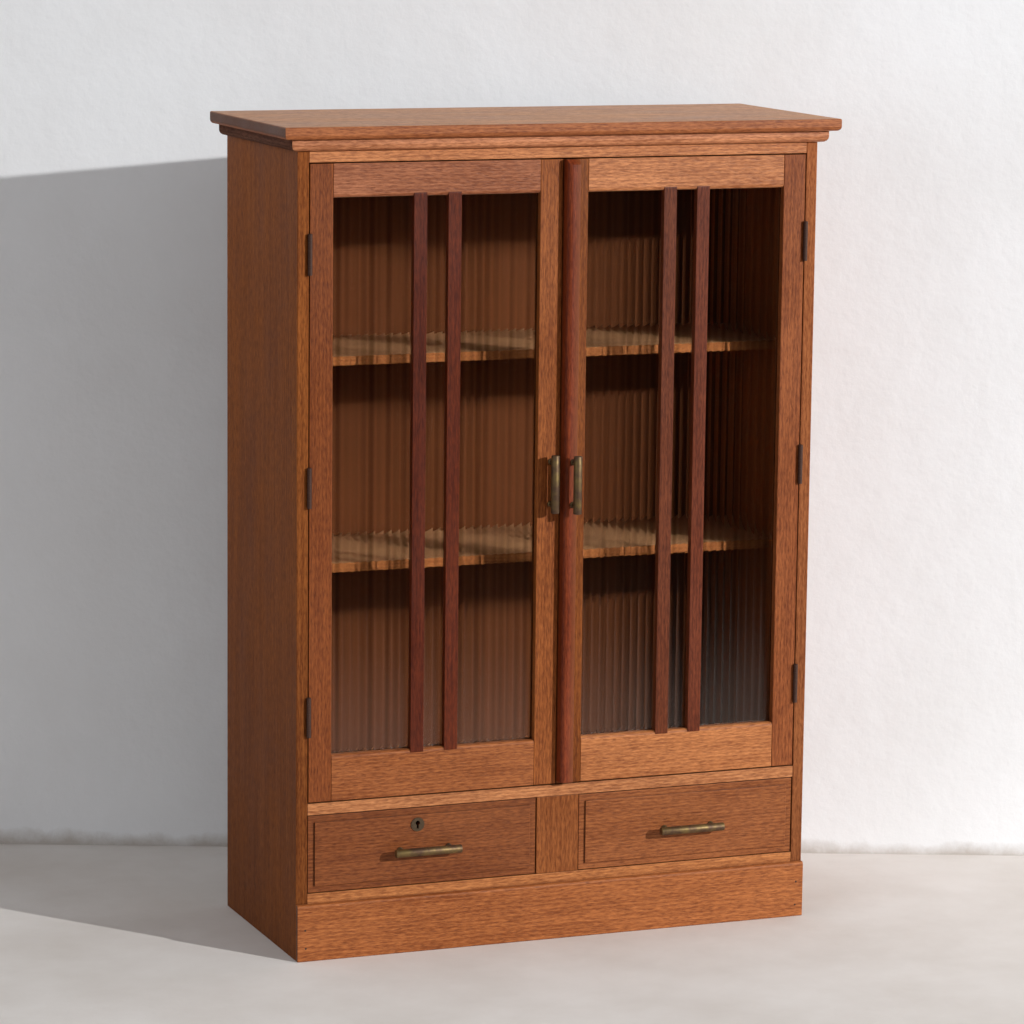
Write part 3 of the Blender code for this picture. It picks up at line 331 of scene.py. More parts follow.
# Back: a plain dull panel of teak, nailed into the rebates of the sides, with little figure and hardly
# any polish. The round nail heads run along all four edges.

BACK_NAIL_SPACING = 0.11
BACK_NAIL_INSET = 0.006
BACK_NAIL_RADIUS = 0.0022
BACK_NAIL_HEIGHT = 0.0006
BACK_NAIL_WANDER = 0.0015
BACK_NAIL_SEED = 4


def tree_of(name, inputs):
    """An empty geometry tree with named inputs and one geometry output."""
    tree = bpy.data.node_groups.new(name, "GeometryNodeTree")
    for label, kind in inputs.items():
        tree.interface.new_socket(label, in_out="INPUT", socket_type=f"NodeSocket{kind}")
    tree.interface.new_socket("Geometry", in_out="OUTPUT", socket_type="NodeSocketGeometry")
    return tree, add(tree, "NodeGroupInput")


def close_tree(tree, geometry, material):
    """Ends a geometry tree: instances made real, and the material set."""
    real = add(tree, "GeometryNodeRealizeInstances", {0: geometry})
    coloured = add(tree, "GeometryNodeSetMaterial", {"Geometry": real, "Material": material})
    add(tree, "NodeGroupOutput", {0: coloured})


def grown(tree, values):
    """The plain mesh that a geometry tree makes from these input values."""
    holder = bpy.data.objects.new(f"{tree.name}_holder", bpy.data.meshes.new(tree.name))
    bpy.context.scene.collection.objects.link(holder)
    modifier = holder.modifiers.new("tree", "NODES")
    modifier.node_group = tree
    sockets = {item.name: item.identifier for item in tree.interface.items_tree if item.in_out == "INPUT"}
    for label, value in values.items():
        modifier[sockets[label]] = value
    depsgraph = bpy.context.evaluated_depsgraph_get()
    mesh = bpy.data.meshes.new_from_object(holder.evaluated_get(depsgraph))
    bpy.data.objects.remove(holder, do_unlink=True)
    return mesh


def nail_row_tree():
    """Nail heads round a rectangle that stands in the XZ plane, their tops facing +Y."""
    tree, given = tree_of("nail_row", {
        "Width": "Float", "Height": "Float", "Spacing": "Float", "Head Radius": "Float",
        "Head Height": "Float", "Wander": "Float", "Seed": "Int", "Centre": "Vector",
        "Material": "Material"})
    path = add(tree, "GeometryNodeCurvePrimitiveQuadrilateral", {
        "Width": given.outputs["Width"], "Height": given.outputs["Height"]})
    points = add(tree, "GeometryNodeResampleCurve", {
        "Curve": path, "Length": given.outputs["Spacing"]}, mode="LENGTH")
    points = add(tree, "GeometryNodeCurveToPoints", {"Curve": points}, mode="EVALUATED")
    high = add(tree, "ShaderNodeCombineXYZ", {
        0: given.outputs["Wander"], 1: given.outputs["Wander"]})
    low = add(tree, "ShaderNodeVectorMath", {0: high, "Scale": -1.0}, operation="SCALE")
    wander = add(tree, "FunctionNodeRandomValue", {
        0: low, 1: high, "Seed": given.outputs["Seed"]}, data_type="FLOAT_VECTOR")
    points = add(tree, "GeometryNodeSetPosition", {"Geometry": points, "Offset": wander})
    head = add(tree, "GeometryNodeMeshUVSphere", {
        "Segments": ROUND_SIDES, "Rings": ROUND_SIDES // 2, "Radius": given.outputs["Head Radius"]})
    flat = add(tree, "ShaderNodeMath", {
        0: given.outputs["Head Height"], 1: given.outputs["Head Radius"]}, operation="DIVIDE")
    squash = add(tree, "ShaderNodeCombineXYZ", {0: 1.0, 1: 1.0, 2: flat})
    head = add(tree, "GeometryNodeTransform", {"Geometry": head, "Scale": squash})
    heads = add(tree, "GeometryNodeInstanceOnPoints", {"Points": points, "Instance": head})
    stood = add(tree, "GeometryNodeTransform", {
        "Geometry": heads, "Translation": given.outputs["Centre"], "Rotation": (math.radians(-90), 0, 0)})
    close_tree(tree, stood, given.outputs["Material"])
    return tree


back_teak = teak(
    "dull_teak_back_panel", "Z", "#643820", (0.2, 0.5, 0.1), roughness=0.65, gloss=0.05, marks=0.35)
dress(back_teak, "back_panel")
back_low, back_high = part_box("back_panel")
nail_steel = plain_finish("nail_steel", "#4A423A", 0.5, 1.0)
back_nails = grown(nail_row_tree(), {
    "Width": back_high.x - back_low.x - 2 * BACK_NAIL_INSET,
    "Height": back_high.z - back_low.z - 2 * BACK_NAIL_INSET,
    "Spacing": BACK_NAIL_SPACING, "Head Radius": BACK_NAIL_RADIUS, "Head Height": BACK_NAIL_HEIGHT,
    "Wander": BACK_NAIL_WANDER, "Seed": BACK_NAIL_SEED, "Material": nail_steel,
    "Centre": (0.0, back_high.y, (back_low.z + back_high.z) / 2)})
finished("back_panel_nails", back_nails, nail_steel, "carcass")


# Shelves: two plain teak boards, their ends let into the sides and left with little polish. Their tops
# are painted paler, partly faded by daylight and the rubbing of what stood on them, partly a painted sheen.

SHELF_FADE_AND_SHEEN = (1.55, 2.45, 4.2)

for name, shift in (("shelf_lower", (0.5, 0.3, 0.2)), ("shelf_upper", (0.8, 0.24, 0.4))):
    shelf_teak = teak(f"teak_{name}", "X", "#95582F", shift, roughness=0.6, gloss=0.1, marks=0.5)
    dress(faded_and_sheened_above(shelf_teak, SHELF_FADE_AND_SHEEN), name)


# Door frames: morticed and tenoned teak, two stiles and two rails to a door, the rails' front arrises
# rounded towards the glass. Beads behind hold the pane.

for name, along, tint, shift in (
        ("left_hinge_stile", "Z", "#80421B", (0.15, 0.22, 0.7)),
        ("left_meeting_stile", "Z", "#935124", (0.31, 0.18, 0.2)),
        ("right_meeting_stile", "Z", "#844719", (0.12, 0.24, 0.9)),
        ("right_hinge_stile", "Z", "#8E4D26", (-0.2, 0.21, 0.4)),
        ("left_top_rail", "X", "#A46544", (0.7, 0.19, 0.31)),
        ("left_bottom_rail", "X", "#9B5A30", (0.2, 0.28, 0.9)),
        ("right_top_rail", "X", "#BB784C", (0.1, 0.23, 0.27)),
        ("right_bottom_rail", "X", "#B47041", (0.5, 0.33, 0.8))):
    dress(teak(f"teak_{name}", along, tint, shift), f"door_{name}")
bead_teak = teak("teak_beads", "Z", "#8A5535", (0.3, 0.3, 0.1))
dress(bead_teak, "door_left_glazing_beads", "door_right_glazing_beads")


# Glazing bars and meeting strip: slim uprights of a redder, darker teak planted over the glass and over
# the joint between the doors. The strip is painted lighter and browner towards its open right side.

LIGHTER_RIGHT_SHARE = 0.8
BAR_SHIFT = 0.13
BAR_TINTS = {
    "door_left_bar_outer": "#5A220C", "door_left_bar_inner": "#62260C",
    "door_right_bar_inner": "#683219", "door_right_bar_outer": "#6A3018"}

for number, (name, tint) in enumerate(BAR_TINTS.items()):
    dress(teak(f"red_teak_{name}", "Z", tint, (0.1 + BAR_SHIFT * number, 0.2, 0.3)), name)
strip_teak = teak("red_teak_meeting_strip", "Z", "#7C3518", (0.17, 0.26, 0.6), roughness=0.4, gloss=0.25)
strip_low, strip_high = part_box("meeting_strip")
tree = strip_teak.node_tree
place = add(tree, "ShaderNodeSeparateXYZ", {0: add(tree, "ShaderNodeTexCoord").outputs["Object"]})
# The strip is painted lighter and browner towards its right edge.
lighter_right = add(tree, "ShaderNodeMapRange", {
    "Value": place.outputs[0], "From Min": (strip_low.x + strip_high.x) / 2, "From Max": strip_high.x,
    "To Max": LIGHTER_RIGHT_SHARE})
laid_over(strip_teak, lighter_right, linear("#804827"))
dress(strip_teak, "meeting_strip")


# Glass: one pane to a door, rolled with upright hollow flutes on its face and smooth behind. The flutes
# spread what is behind them into upright streaks. Lamps shine through it as through plain glass.

FLUTES = 26
FLUTE_STEPS = 14
FLUTE_DEPTH = 0.0009
RIDGE_ANGLE = math.radians(15)
GLASS_IOR = 1.52
HOLLOW_SHADE_WIDTH = 0.014286
HOLLOW_SHADE_LENGTH = 1.6667
SMEAR_SIZE = 0.07143
SMEAR_ROUGHNESS = 0.045


def reeded_pane_tree():
    """A pane in the XZ plane with hollow flutes on its -Y face. The attribute hollow goes from 0 on a
    ridge to 1 in the middle of a flute."""
    tree, given = tree_of("reeded_pane", {
        "Size": "Vector", "Centre": "Vector", "Flutes": "Int", "Steps": "Int", "Depth": "Float",
        "Sharp Angle": "Float", "Material": "Material"})
    count = add(tree, "ShaderNodeMath", {
        0: given.outputs["Flutes"], 1: given.outputs["Steps"], 2: 1.0}, operation="MULTIPLY_ADD")
    slab = add(tree, "GeometryNodeMeshCube", {
        "Size": given.outputs["Size"], "Vertices X": count, "Vertices Y": 2, "Vertices Z": 2})
    corner = add(tree, "ShaderNodeSeparateXYZ", {0: add(tree, "GeometryNodeInputPosition")})
    width = add(tree, "ShaderNodeSeparateXYZ", {0: given.outputs["Size"]})
    across = add(tree, "ShaderNodeMath", {0: corner.outputs[0], 1: width.outputs[0]}, operation="DIVIDE")
    across = add(tree, "ShaderNodeMath", {0: across, 1: 0.5}, operation="ADD")
    across = add(tree, "ShaderNodeMath", {0: across, 1: given.outputs["Flutes"]}, operation="MULTIPLY")
    across = add(tree, "ShaderNodeMath", {0: across}, operation="FRACT")
    across = add(tree, "ShaderNodeMath", {0: across, 1: 2.0, 2: -1.0}, operation="MULTIPLY_ADD")
    ridge = add(tree, "ShaderNodeMath", {0: across, 1: across}, operation="MULTIPLY")
    hollow = add(tree, "ShaderNodeMath", {0: 1.0, 1: ridge}, operation="SUBTRACT")
    sunk = add(tree, "ShaderNodeMath", {0: hollow, 1: given.outputs["Depth"]}, operation="MULTIPLY")
    front = add(tree, "FunctionNodeCompare", {0: corner.outputs[1], 1: 0.0}, operation="LESS_THAN")
    offset = add(tree, "ShaderNodeCombineXYZ", {1: sunk})
    reeded = add(tree, "GeometryNodeSetPosition", {"Geometry": slab, "Selection": front, "Offset": offset})
    reeded = add(tree, "GeometryNodeStoreNamedAttribute", {
        "Geometry": reeded, "Name": "hollow", "Value": hollow}, data_type="FLOAT", domain="POINT")
    bend = add(tree, "GeometryNodeInputMeshEdgeAngle")
    sharp = add(tree, "FunctionNodeCompare", {
        0: bend, 1: given.outputs["Sharp Angle"]}, operation="GREATER_THAN")
    smooth = add(tree, "GeometryNodeSetShadeSmooth", {
        "Geometry": reeded, "Shade Smooth": True}, domain="FACE")
    creased = add(tree, "GeometryNodeSetShadeSmooth", {
        "Geometry": smooth, "Selection": sharp, "Shade Smooth": False}, domain="EDGE")
    moved = add(tree, "GeometryNodeTransform", {
        "Geometry": creased, "Translation": given.outputs["Centre"]})
    close_tree(tree, moved, given.outputs["Material"])
    return tree


def reeded_glass():
    """Clear rolled soda glass, a little grey, that lets lamps through unbent. The hollows are painted
    darker,
    more in some flutes than in others: painted shade for the dark of the case that the flutes turn the view
    to."""
    material = bpy.data.materials.new("rolled_soda_glass")
    material.use_nodes = True
    tree = material.node_tree
    glass = tree.nodes["Principled BSDF"]
    glass.inputs["Transmission Weight"].default_value = 1.0
    glass.inputs["IOR"].default_value = GLASS_IOR
    place = add(tree, "ShaderNodeTexCoord").outputs["Object"]
    hollow = add(tree, "ShaderNodeAttribute", attribute_name="hollow").outputs["Fac"]
    stretched = add(tree, "ShaderNodeMapping", {
        "Vector": place, "Scale": (1 / HOLLOW_SHADE_WIDTH, 1, 1 / HOLLOW_SHADE_LENGTH)})
    uneven = add(tree, "ShaderNodeTexNoise", {"Vector": stretched, "Scale": 1, "Detail": 1})
    # The hollows are painted darker, as painted shade.
    hollow_shade = add(tree, "ShaderNodeMapRange", {
        "Value": uneven, "From Min": 0.35, "From Max": 0.65, "To Min": 0.25})
    hollow_shade = add(tree, "ShaderNodeMath", {0: hollow_shade, 1: hollow}, operation="MULTIPLY")
    tone = add(tree, "ShaderNodeMix", {
        0: hollow_shade, 6: linear("#E8E9E5"), 7: linear("#B9B4A9")}, data_type="RGBA")
    tree.links.new(tone.outputs[2], glass.inputs["Base Color"])
    smears = add(tree, "ShaderNodeTexNoise", {"Vector": place, "Scale": 1 / SMEAR_SIZE, "Detail": 4})
    rough = add(tree, "ShaderNodeMapRange", {
        "Value": smears, "From Min": 0.3, "From Max": 0.7, "To Max": SMEAR_ROUGHNESS})
    tree.links.new(rough.outputs[0], glass.inputs["Roughness"])
    clear = add(tree, "ShaderNodeBsdfTransparent", {"Color": linear("#F8F9F7")})
    lamp_ray = add(tree, "ShaderNodeLightPath").outputs["Is Shadow Ray"]
    mixed = add(tree, "ShaderNodeMixShader", {0: lamp_ray, 1: glass, 2: clear})
    tree.links.new(mixed.outputs[0], tree.nodes["Material Output"].inputs["Surface"])
    return material


rolled_glass = reeded_glass()
pane_tree = reeded_pane_tree()
for side in ("left", "right"):
    low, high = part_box(f"door_{side}_glass")
    mesh = grown(pane_tree, {
        "Size": high - low, "Centre": (low + high) / 2, "Flutes": FLUTES, "Steps": FLUTE_STEPS,
        "Depth": FLUTE_DEPTH, "Sharp Angle": RIDGE_ANGLE, "Material": rolled_glass})
    pane = finished(f"door_{side}_reeded_pane", mesh, rolled_glass, f"door_{side}")
    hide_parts(f"door_{side}_glass")


# Hinges: three steel butt hinges to a door, their leaves let into case and stile and held by three
# countersunk slotted screws each. The steel has gone nearly black.

HINGES_TO_A_DOOR = 3
SCREWS_TO_A_LEAF = 3
LEAF_WIDTH = 0.018
LEAF_SPACING = 0.0007
SCREW_SPACING = 0.022
SCREW_SIDES = 20
SCREW_SEED = 3
SCREW_HEAD_RADIUS = 0.0026
SCREW_HEAD_PROUD = 0.0002
SCREW_SLOT_WIDTH = 0.0007
SLOT_REACH = 3.0
SLOT_RISE = 1.1


def hinge_screw_tree():
    """Slotted heads in groups, one group to a hinge, turned to face along X. Each head is a disc sunk by
    half its thickness, with the slot cut down to just above its middle."""
    tree, given = tree_of("hinge_screws", {
        "Hinge Spacing": "Float", "Screw Spacing": "Float", "Head Radius": "Float", "Head Proud": "Float",
        "Slot Width": "Float", "Seed": "Int", "Centre": "Vector", "Facing": "Float",
        "Material": "Material"})
    rows = []
    for label, count in (("Hinge Spacing", HINGES_TO_A_DOOR), ("Screw Spacing", SCREWS_TO_A_LEAF)):
        back = add(tree, "ShaderNodeMath", {
            0: given.outputs[label], 1: (1 - count) / 2}, operation="MULTIPLY")
        start = add(tree, "ShaderNodeCombineXYZ", {0: back})
        step = add(tree, "ShaderNodeCombineXYZ", {0: given.outputs[label]})
        rows.append(add(tree, "GeometryNodeMeshLine", {
            "Count": count, "Start Location": start, "Offset": step}))
    grouped = add(tree, "GeometryNodeInstanceOnPoints", {"Points": rows[0], "Instance": rows[1]})
    points = add(tree, "GeometryNodeRealizeInstances", {0: grouped})
    thickness = add(tree, "ShaderNodeMath", {0: given.outputs["Head Proud"], 1: 2.0}, operation="MULTIPLY")
    disc = add(tree, "GeometryNodeMeshCylinder", {
        "Vertices": SCREW_SIDES, "Radius": given.outputs["Head Radius"], "Depth": thickness})
    length = add(tree, "ShaderNodeMath", {
        0: given.outputs["Head Radius"], 1: SLOT_REACH}, operation="MULTIPLY")
    slot_size = add(tree, "ShaderNodeCombineXYZ", {0: length, 1: given.outputs["Slot Width"], 2: thickness})
    slot = add(tree, "GeometryNodeMeshCube", {"Size": slot_size})
    rise = add(tree, "ShaderNodeMath", {0: given.outputs["Head Proud"], 1: SLOT_RISE}, operation="MULTIPLY")
    rise = add(tree, "ShaderNodeCombineXYZ", {2: rise})
    slot = add(tree, "GeometryNodeTransform", {"Geometry": slot, "Translation": rise})
    head = add(tree, "GeometryNodeMeshBoolean", {"Mesh 1": disc}, operation="DIFFERENCE")
    tree.links.new(slot.outputs[0], head.inputs["Mesh 2"])
    spin = add(tree, "FunctionNodeRandomValue", {
        0: (0, 0, 0), 1: (0, 0, math.pi), "Seed": given.outputs["Seed"]}, data_type="FLOAT_VECTOR")
    heads = add(tree, "GeometryNodeInstanceOnPoints", {
        "Points": points, "Instance": head, "Rotation": spin})
    facing = add(tree, "ShaderNodeCombineXYZ", {1: given.outputs["Facing"]})
    stood = add(tree, "GeometryNodeTransform", {
        "Geometry": heads, "Translation": given.outputs["Centre"], "Rotation": facing})
    close_tree(tree, stood, given.outputs["Material"])
    return tree


black_steel = plain_finish("blackened_steel", "#44291D", 0.6, 0.25)
screw_steel = plain_finish("screw_steel", "#4B3F34", 0.45, 0.9)
screw_tree = hinge_screw_tree()
for side, inward in (("left", 1), ("right", -1)):
    for number in range(1, HINGES_TO_A_DOOR + 1):
        name = f"door_{side}_hinge_{number}"
        dress(black_steel, f"{name}_fixed_leaf", f"{name}_door_leaf")
    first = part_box(f"door_{side}_hinge_1_fixed_leaf")
    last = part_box(f"door_{side}_hinge_3_fixed_leaf")
    axis = (first[0].x + first[1].x) / 2
    screw_y = first[1].y - LEAF_WIDTH / 2
    middle = (first[0].z + last[1].z) / 2
    for body, way in (("carcass", -inward), (f"door_{side}", inward)):
        screws = grown(screw_tree, {
            "Hinge Spacing": (last[0].z - first[0].z) / (HINGES_TO_A_DOOR - 1),
            "Screw Spacing": SCREW_SPACING, "Head Radius": SCREW_HEAD_RADIUS,
            "Head Proud": SCREW_HEAD_PROUD, "Slot Width": SCREW_SLOT_WIDTH,
            "Seed": SCREW_SEED, "Centre": (axis + way * LEAF_SPACING / 2, screw_y, middle),
            "Facing": math.radians(-90 * way), "Material": screw_steel})
        holder = "case" if body == "carcass" else "door"
        finished(f"{holder}_{side}_hinge_screws", screws, screw_steel, body)


# Bar handles: a plain brass rod on two turned posts, one upright on each door and one level on each
# drawer. Unlacquered, so it has gone a dull olive brown.

BRASS_STAIN_SIZE = 0.01818
SHADE_REACH = 0.012
HANDLE_SIDES = 40
ROD_RADIUS = 0.0069
ROD_END_ROUND = 0.0012
ROUND_MIDDLE = 0.3
POST_RADIUS = 0.0036
POST_FOOT_RADIUS = 0.0052
POST_FOOT_THICKNESS = 0.0018
POST_SPACING = {"door": 0.070, "drawer": 0.084}


def aged_brass():
    """Rod brass left to tarnish: dull olive brown with darker stains, and painted shade where rod and
    posts face the wood."""
    material = bpy.data.materials.new("tarnished_brass")
    material.use_nodes = True
    tree = material.node_tree
    shader = tree.nodes["Principled BSDF"]
    place = add(tree, "ShaderNodeTexCoord").outputs["Object"]
    stains = add(tree, "ShaderNodeTexNoise", {
        "Vector": place, "Scale": 1 / BRASS_STAIN_SIZE, "Detail": 4, "Roughness": 0.55})
    stained = add(tree, "ShaderNodeMapRange", {"Value": stains, "From Min": 0.38, "From Max": 0.62})
    colour = add(tree, "ShaderNodeMix", {
        0: stained, 6: linear("#5E4838"), 7: linear("#806B42")}, data_type="RGBA")
    # Painted shade where rod and posts face the wood.
    openness = add(tree, "ShaderNodeAmbientOcclusion", {"Distance": SHADE_REACH}, samples=EDGE_SAMPLES)
    painted_shade = add(tree, "ShaderNodeMapRange", {
        "Value": openness.outputs["AO"], "From Min": 0.92, "From Max": 0.6, "To Max": 0.92})
    colour = add(tree, "ShaderNodeMix", {
        0: painted_shade, 6: colour.outputs[2], 7: linear("#1E140E")}, data_type="RGBA")
    tree.links.new(colour.outputs[2], shader.inputs["Base Color"])
    rough = add(tree, "ShaderNodeMapRange", {
        "Value": stains, "From Min": 0.3, "From Max": 0.7, "To Min": 0.56, "To Max": 0.44})
    tree.links.new(rough.outputs[0], shader.inputs["Roughness"])
    shader.inputs["Metallic"].default_value = 0.75
    return material


tarnished_brass = aged_brass()
eased = ROD_END_ROUND * ROUND_MIDDLE
for kind, side in (("door", "left"), ("door", "right"), ("drawer", "left"), ("drawer", "right")):
    low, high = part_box(f"{kind}_{side}_handle")
    middle = (low + high) / 2
    face = high.y
    rod_y = low.y + ROD_RADIUS
    upright = kind == "door"
    half = ((high.z - low.z) if upright else (high.x - low.x)) / 2
    lie = Matrix.Identity(4) if upright else Matrix.Rotation(math.radians(90), 4, "Y")
    ends = [
        (ROD_RADIUS - ROD_END_ROUND, half), (ROD_RADIUS - eased, half - eased),
        (ROD_RADIUS, half - ROD_END_ROUND)]
    rod = [(radius, -height) for radius, height in ends] + ends[::-1]
    form = bmesh.new()
    turned(form, rod, Matrix.Translation((middle.x, rod_y, middle.z)) @ lie, HANDLE_SIDES)
    post = [
        (POST_FOOT_RADIUS, 0), (POST_FOOT_RADIUS, POST_FOOT_THICKNESS),
        (POST_RADIUS, POST_FOOT_THICKNESS + POST_FOOT_RADIUS - POST_RADIUS), (POST_RADIUS, face - rod_y)]
    for way in (-1, 1):
        shift = way * POST_SPACING[kind] / 2
        foot = (middle.x, face, middle.z + shift) if upright else (middle.x + shift, face, middle.z)
        turned(form, post, Matrix.Translation(foot) @ FACING_FRONT, HANDLE_SIDES)
    handle = shaped(f"{kind}_{side}_bar_handle", form, tarnished_brass, f"{kind}_{side}")
    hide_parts(f"{kind}_{side}_handle")


# Drawers: teak fronts with a raised field inside a narrow border, on dovetailed boxes of a plain pale
# wood that was left bare.

dress(teak("teak_drawer_left", "X", "#824824", (0.3, 0.31, 0.5)), "drawer_left_front")
dress(teak("teak_drawer_right", "X", "#93552D", (0.75, 0.22, 0.35)), "drawer_right_front")
lining = teak("bare_drawer_wood", "Y", "#B08A5E", (0.3, 0.2, 0.15), roughness=0.65)
lining_across = teak("bare_drawer_wood_across", "X", "#AC865A", (0.2, 0.4, 0.25), roughness=0.65)
for side in ("left", "right"):
    dress(lining, f"drawer_{side}_side_left", f"drawer_{side}_side_right")
    dress(lining_across, f"drawer_{side}_back", f"drawer_{side}_bottom")


# Lock: a brass lock behind the left drawer's front, whose bolt shoots up into the board above, and a
# small round plate round the keyhole.

dress(plain_finish("browned_brass", "#4B3A25", 0.5, 0.4), "escutcheon")
dress(tarnished_brass, "lock_case", "lock_bolt")


# Room: a painted screed floor and a limewashed wall, square to the camera and behind the cabinet. The
# wall shows from the front only, so that the cabinet's back can be seen past it.

WALL_SLOPE = -0.3944
WALL_AT_MIDDLE = 0.471
WALL_HEIGHT = 4.0
WALL_BLOTCHES = 0.5
WALL_LUMP_DEPTH = 0.0038
WALL_FOOT_DARK_HEIGHT = 0.05
WALL_FOOT_DARK_SIZE = 0.1111
FLOOR_BLOTCHES = 0.3333
FLOOR_LUMP_DEPTH = 0.0012
LUMPS_TO_A_BLOTCH = 9
ROOM_REACH = 30.0
PALE_FLOOR_END = -0.9
TRODDEN_FLOOR_START = -1.5
SHADED_FLOOR_START = -2.7


def rough_coat(name, tint, stain, blotch_size, lump_depth):
    """Limewash or paint on a trowelled ground: nearly white, faintly blotched, with shallow lumps."""
    material = bpy.data.materials.new(name)
    material.use_nodes = True
    tree = material.node_tree
    shader = tree.nodes["Principled BSDF"]
    place = add(tree, "ShaderNodeTexCoord").outputs["Object"]
    blotches = add(tree, "ShaderNodeTexNoise", {
        "Vector": place, "Scale": 1 / blotch_size, "Detail": 6, "Roughness": 0.6})
    faint = add(tree, "ShaderNodeMapRange", {"Value": blotches, "From Min": 0.35, "From Max": 0.7})
    colour = add(tree, "ShaderNodeMix", {0: faint, 6: linear(tint), 7: linear(stain)}, data_type="RGBA")
    tree.links.new(colour.outputs[2], shader.inputs["Base Color"])
    shader.inputs["Roughness"].default_value = 0.9
    shader.inputs["Specular IOR Level"].default_value = 0.0
    lumps = add(tree, "ShaderNodeTexNoise", {
        "Vector": place, "Scale": LUMPS_TO_A_BLOTCH / blotch_size, "Detail": 8, "Roughness": 0.6})
    bump = add(tree, "ShaderNodeBump", {"Strength": 0.6, "Distance": lump_depth, "Height": lumps})
    tree.links.new(bump.outputs[0], shader.inputs["Normal"])
    return material


def sheet(name, corners, material):
    """A flat face of the room."""
    mesh = bpy.data.meshes.new(name)
    mesh.from_pydata(corners, [], [tuple(range(len(corners)))])
    mesh.materials.append(material)
    made = bpy.data.objects.new(name, mesh)
    bpy.context.scene.collection.objects.link(made)


def wall_spot(x, z):
    """The point of the wall at this place along X and this height."""
    return (x, WALL_SLOPE * x + WALL_AT_MIDDLE, z)


# The painted strip of floor along the wall is trodden brown in front, and further out is painted dark:
# painted shade for the unlit floor of the room.
screed = rough_coat("painted_screed", "#F5F0EB", "#E6DFD8", FLOOR_BLOTCHES, FLOOR_LUMP_DEPTH)
tree = screed.node_tree
place = add(tree, "ShaderNodeSeparateXYZ", {0: add(tree, "ShaderNodeTexCoord").outputs["Object"]})
for reached, tint in ((TRODDEN_FLOOR_START, "#E6CDBF"), (SHADED_FLOOR_START, "#33271F")):
    share = add(tree, "ShaderNodeMapRange", {
        "Value": place.outputs[1], "From Min": PALE_FLOOR_END, "From Max": reached,
    }, interpolation_type="SMOOTHSTEP")
    laid_over(screed, share, linear(tint))
# A ragged band along the foot of the wall is painted darker: partly splashes from the floor, partly painted
# shade in the corner.
limewash = rough_coat("limewashed_plaster", "#F9FBFD", "#F1F2F3", WALL_BLOTCHES, WALL_LUMP_DEPTH)
tree = limewash.node_tree
place = add(tree, "ShaderNodeTexCoord").outputs["Object"]
ragged = add(tree, "ShaderNodeTexNoise", {
    "Vector": place, "Scale": 1 / WALL_FOOT_DARK_SIZE, "Detail": 5, "Roughness": 0.7})
height = add(tree, "ShaderNodeSeparateXYZ", {0: place}).outputs[2]
level = add(tree, "ShaderNodeMath", {0: ragged, 1: -WALL_FOOT_DARK_HEIGHT, 2: height}, operation="MULTIPLY_ADD")
grubby_and_shaded = add(tree, "ShaderNodeMapRange", {
    "Value": level, "From Min": 0.0, "From Max": -WALL_FOOT_DARK_HEIGHT / 2, "To Max": 0.6})
laid_over(limewash, grubby_and_shaded, linear("#9C8B76"))
one_sided = add(tree, "ShaderNodeMixShader", {
    0: add(tree, "ShaderNodeNewGeometry").outputs["Backfacing"], 1: tree.nodes["Principled BSDF"],
    2: add(tree, "ShaderNodeBsdfTransparent")})
tree.links.new(one_sided.outputs[0], tree.nodes["Material Output"].inputs["Surface"])
sheet("floor", [
    (x * ROOM_REACH, y * ROOM_REACH, 0) for x, y in ((-1, -1), (1, -1), (1, 1), (-1, 1))], screed)
sheet("wall", [
    wall_spot(-ROOM_REACH, 0), wall_spot(ROOM_REACH, 0),
    wall_spot(ROOM_REACH, WALL_HEIGHT), wall_spot(-ROOM_REACH, WALL_HEIGHT)], limewash)


# Lamps: one small lamp far off at the right with its beam kept to the cabinet, which throws the crisp
# shadow on the wall, and a pale light from all round, stronger from the sides and weaker from overhead.

LAMP_PLACE = Vector((5.064, -7.308, 3.412))
LAMP_AIM = Vector((0, 0, 0.67))
LAMP_WATTS = 2850
LAMP_RADIUS = 0.07
BEAM_ANGLE = math.radians(40)
BEAM_EDGE = 0.5
FAN_PLACE = Vector((2.84, -4.10, 2.78))
FAN_WATTS = 1880
FAN_TURNS = (-25, -20, -15, -10, -5, 0, 5)
TWIN_WATTS = 4300
SKY_STRENGTH = 0.52
SKY_LEVEL = 0.9
SKY_LEAN = (1.2, 0.0, -0.9)


def beam(name, place, watts, named, state):
    """A spot lamp that lights the named nodes alone (INCLUDE), or all but those (EXCLUDE)."""
    data = bpy.data.lights.new(name, "SPOT")
    data.spot_size = BEAM_ANGLE
    data.spot_blend = BEAM_EDGE
    data.shadow_soft_size = LAMP_RADIUS
    data.energy = watts
    lamp = bpy.data.objects.new(name, data)
    lamp.location = place
    lamp.rotation_mode = "QUATERNION"
    lamp.rotation_quaternion = (LAMP_AIM - place).to_track_quat("-Z", "Y")
    bpy.context.scene.collection.objects.link(lamp)
    lamp.light_linking.receiver_collection = bpy.data.collections.new(f"{name}_receivers")
    for node in named:
        lamp.light_linking.receiver_collection.objects.link(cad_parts[node])
    for held in lamp.light_linking.receiver_collection.collection_objects:
        held.light_linking.link_state = state


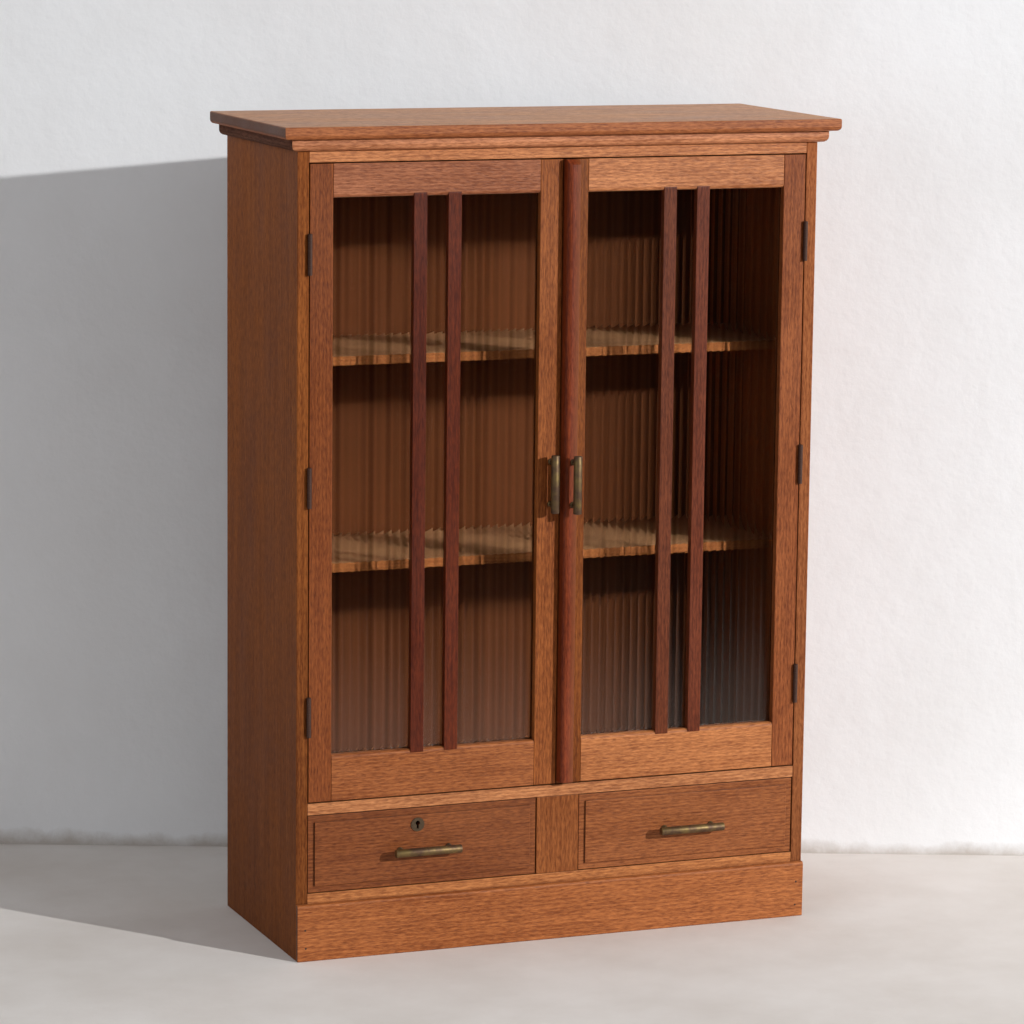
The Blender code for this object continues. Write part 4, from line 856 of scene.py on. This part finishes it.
# The flutes of the real glass fan the lamp's light out sideways before it lands on the back panel. The
# render lets lamps through unbent, so a fan of weaker lamps lights that panel in place of the far one,
# and a brighter twin of the far one lights the shelves, where the flutes gather its light.
shelves = ("shelf_upper", "shelf_lower")
beam("far_lamp", LAMP_PLACE, LAMP_WATTS, ("back_panel", *shelves), "EXCLUDE")
beam("far_lamp_twin", LAMP_PLACE, TWIN_WATTS, shelves, "INCLUDE")
for number, degrees in enumerate(FAN_TURNS):
    place = Matrix.Rotation(math.radians(degrees), 4, "Z") @ FAN_PLACE
    beam(f"fanned_lamp_{number}", place, FAN_WATTS / len(FAN_TURNS), ("back_panel",), "INCLUDE")
world = bpy.data.worlds.new("pale_room")
world.use_nodes = True
tree = world.node_tree
direction = add(tree, "ShaderNodeTexCoord").outputs["Generated"]
squared = add(tree, "ShaderNodeVectorMath", {0: direction, 1: direction}, operation="MULTIPLY")
lean = add(tree, "ShaderNodeVectorMath", {0: squared, 1: SKY_LEAN}, operation="DOT_PRODUCT")
strength = add(tree, "ShaderNodeMath", {0: lean.outputs["Value"], 1: SKY_LEVEL}, operation="ADD")
strength = add(tree, "ShaderNodeMath", {0: strength, 1: SKY_STRENGTH}, operation="MULTIPLY")
tree.nodes["Background"].inputs["Color"].default_value = linear("#F4F5F8")
tree.links.new(strength.outputs[0], tree.nodes["Background"].inputs["Strength"])
bpy.context.scene.world = world


# Camera: placed where the photograph was taken from, left of the cabinet and a little above it, with a
# long lens. All of it was worked out from the cabinet's own right angles.

CAMERA_PLACE = (-2.4626, -6.2066, 1.7916)
CAMERA_YAW = math.radians(-21.4855)
CAMERA_PITCH = math.radians(-9.3808)
CAMERA_ROLL = math.radians(0.6402)
CAMERA_LENS = 142.81
SENSOR_WIDTH = 36.0

ahead = Vector((
    -math.sin(CAMERA_YAW) * math.cos(CAMERA_PITCH), math.cos(CAMERA_YAW) * math.cos(CAMERA_PITCH),
    math.sin(CAMERA_PITCH)))
level = ahead.cross(Vector((0, 0, 1))).normalized()
upward = level.cross(ahead)
rightward = level * math.cos(CAMERA_ROLL) + upward * math.sin(CAMERA_ROLL)
upward = upward * math.cos(CAMERA_ROLL) - level * math.sin(CAMERA_ROLL)
camera_data = bpy.data.cameras.new("camera")
camera_data.lens = CAMERA_LENS
camera_data.sensor_width = SENSOR_WIDTH
camera = bpy.data.objects.new("camera", camera_data)
bpy.context.scene.collection.objects.link(camera)
turn = Matrix((rightward, upward, -ahead)).transposed().to_4x4()
camera.matrix_world = Matrix.Translation(CAMERA_PLACE) @ turn
bpy.context.scene.camera = camera
bpy.context.scene.view_settings.view_transform = "Standard"
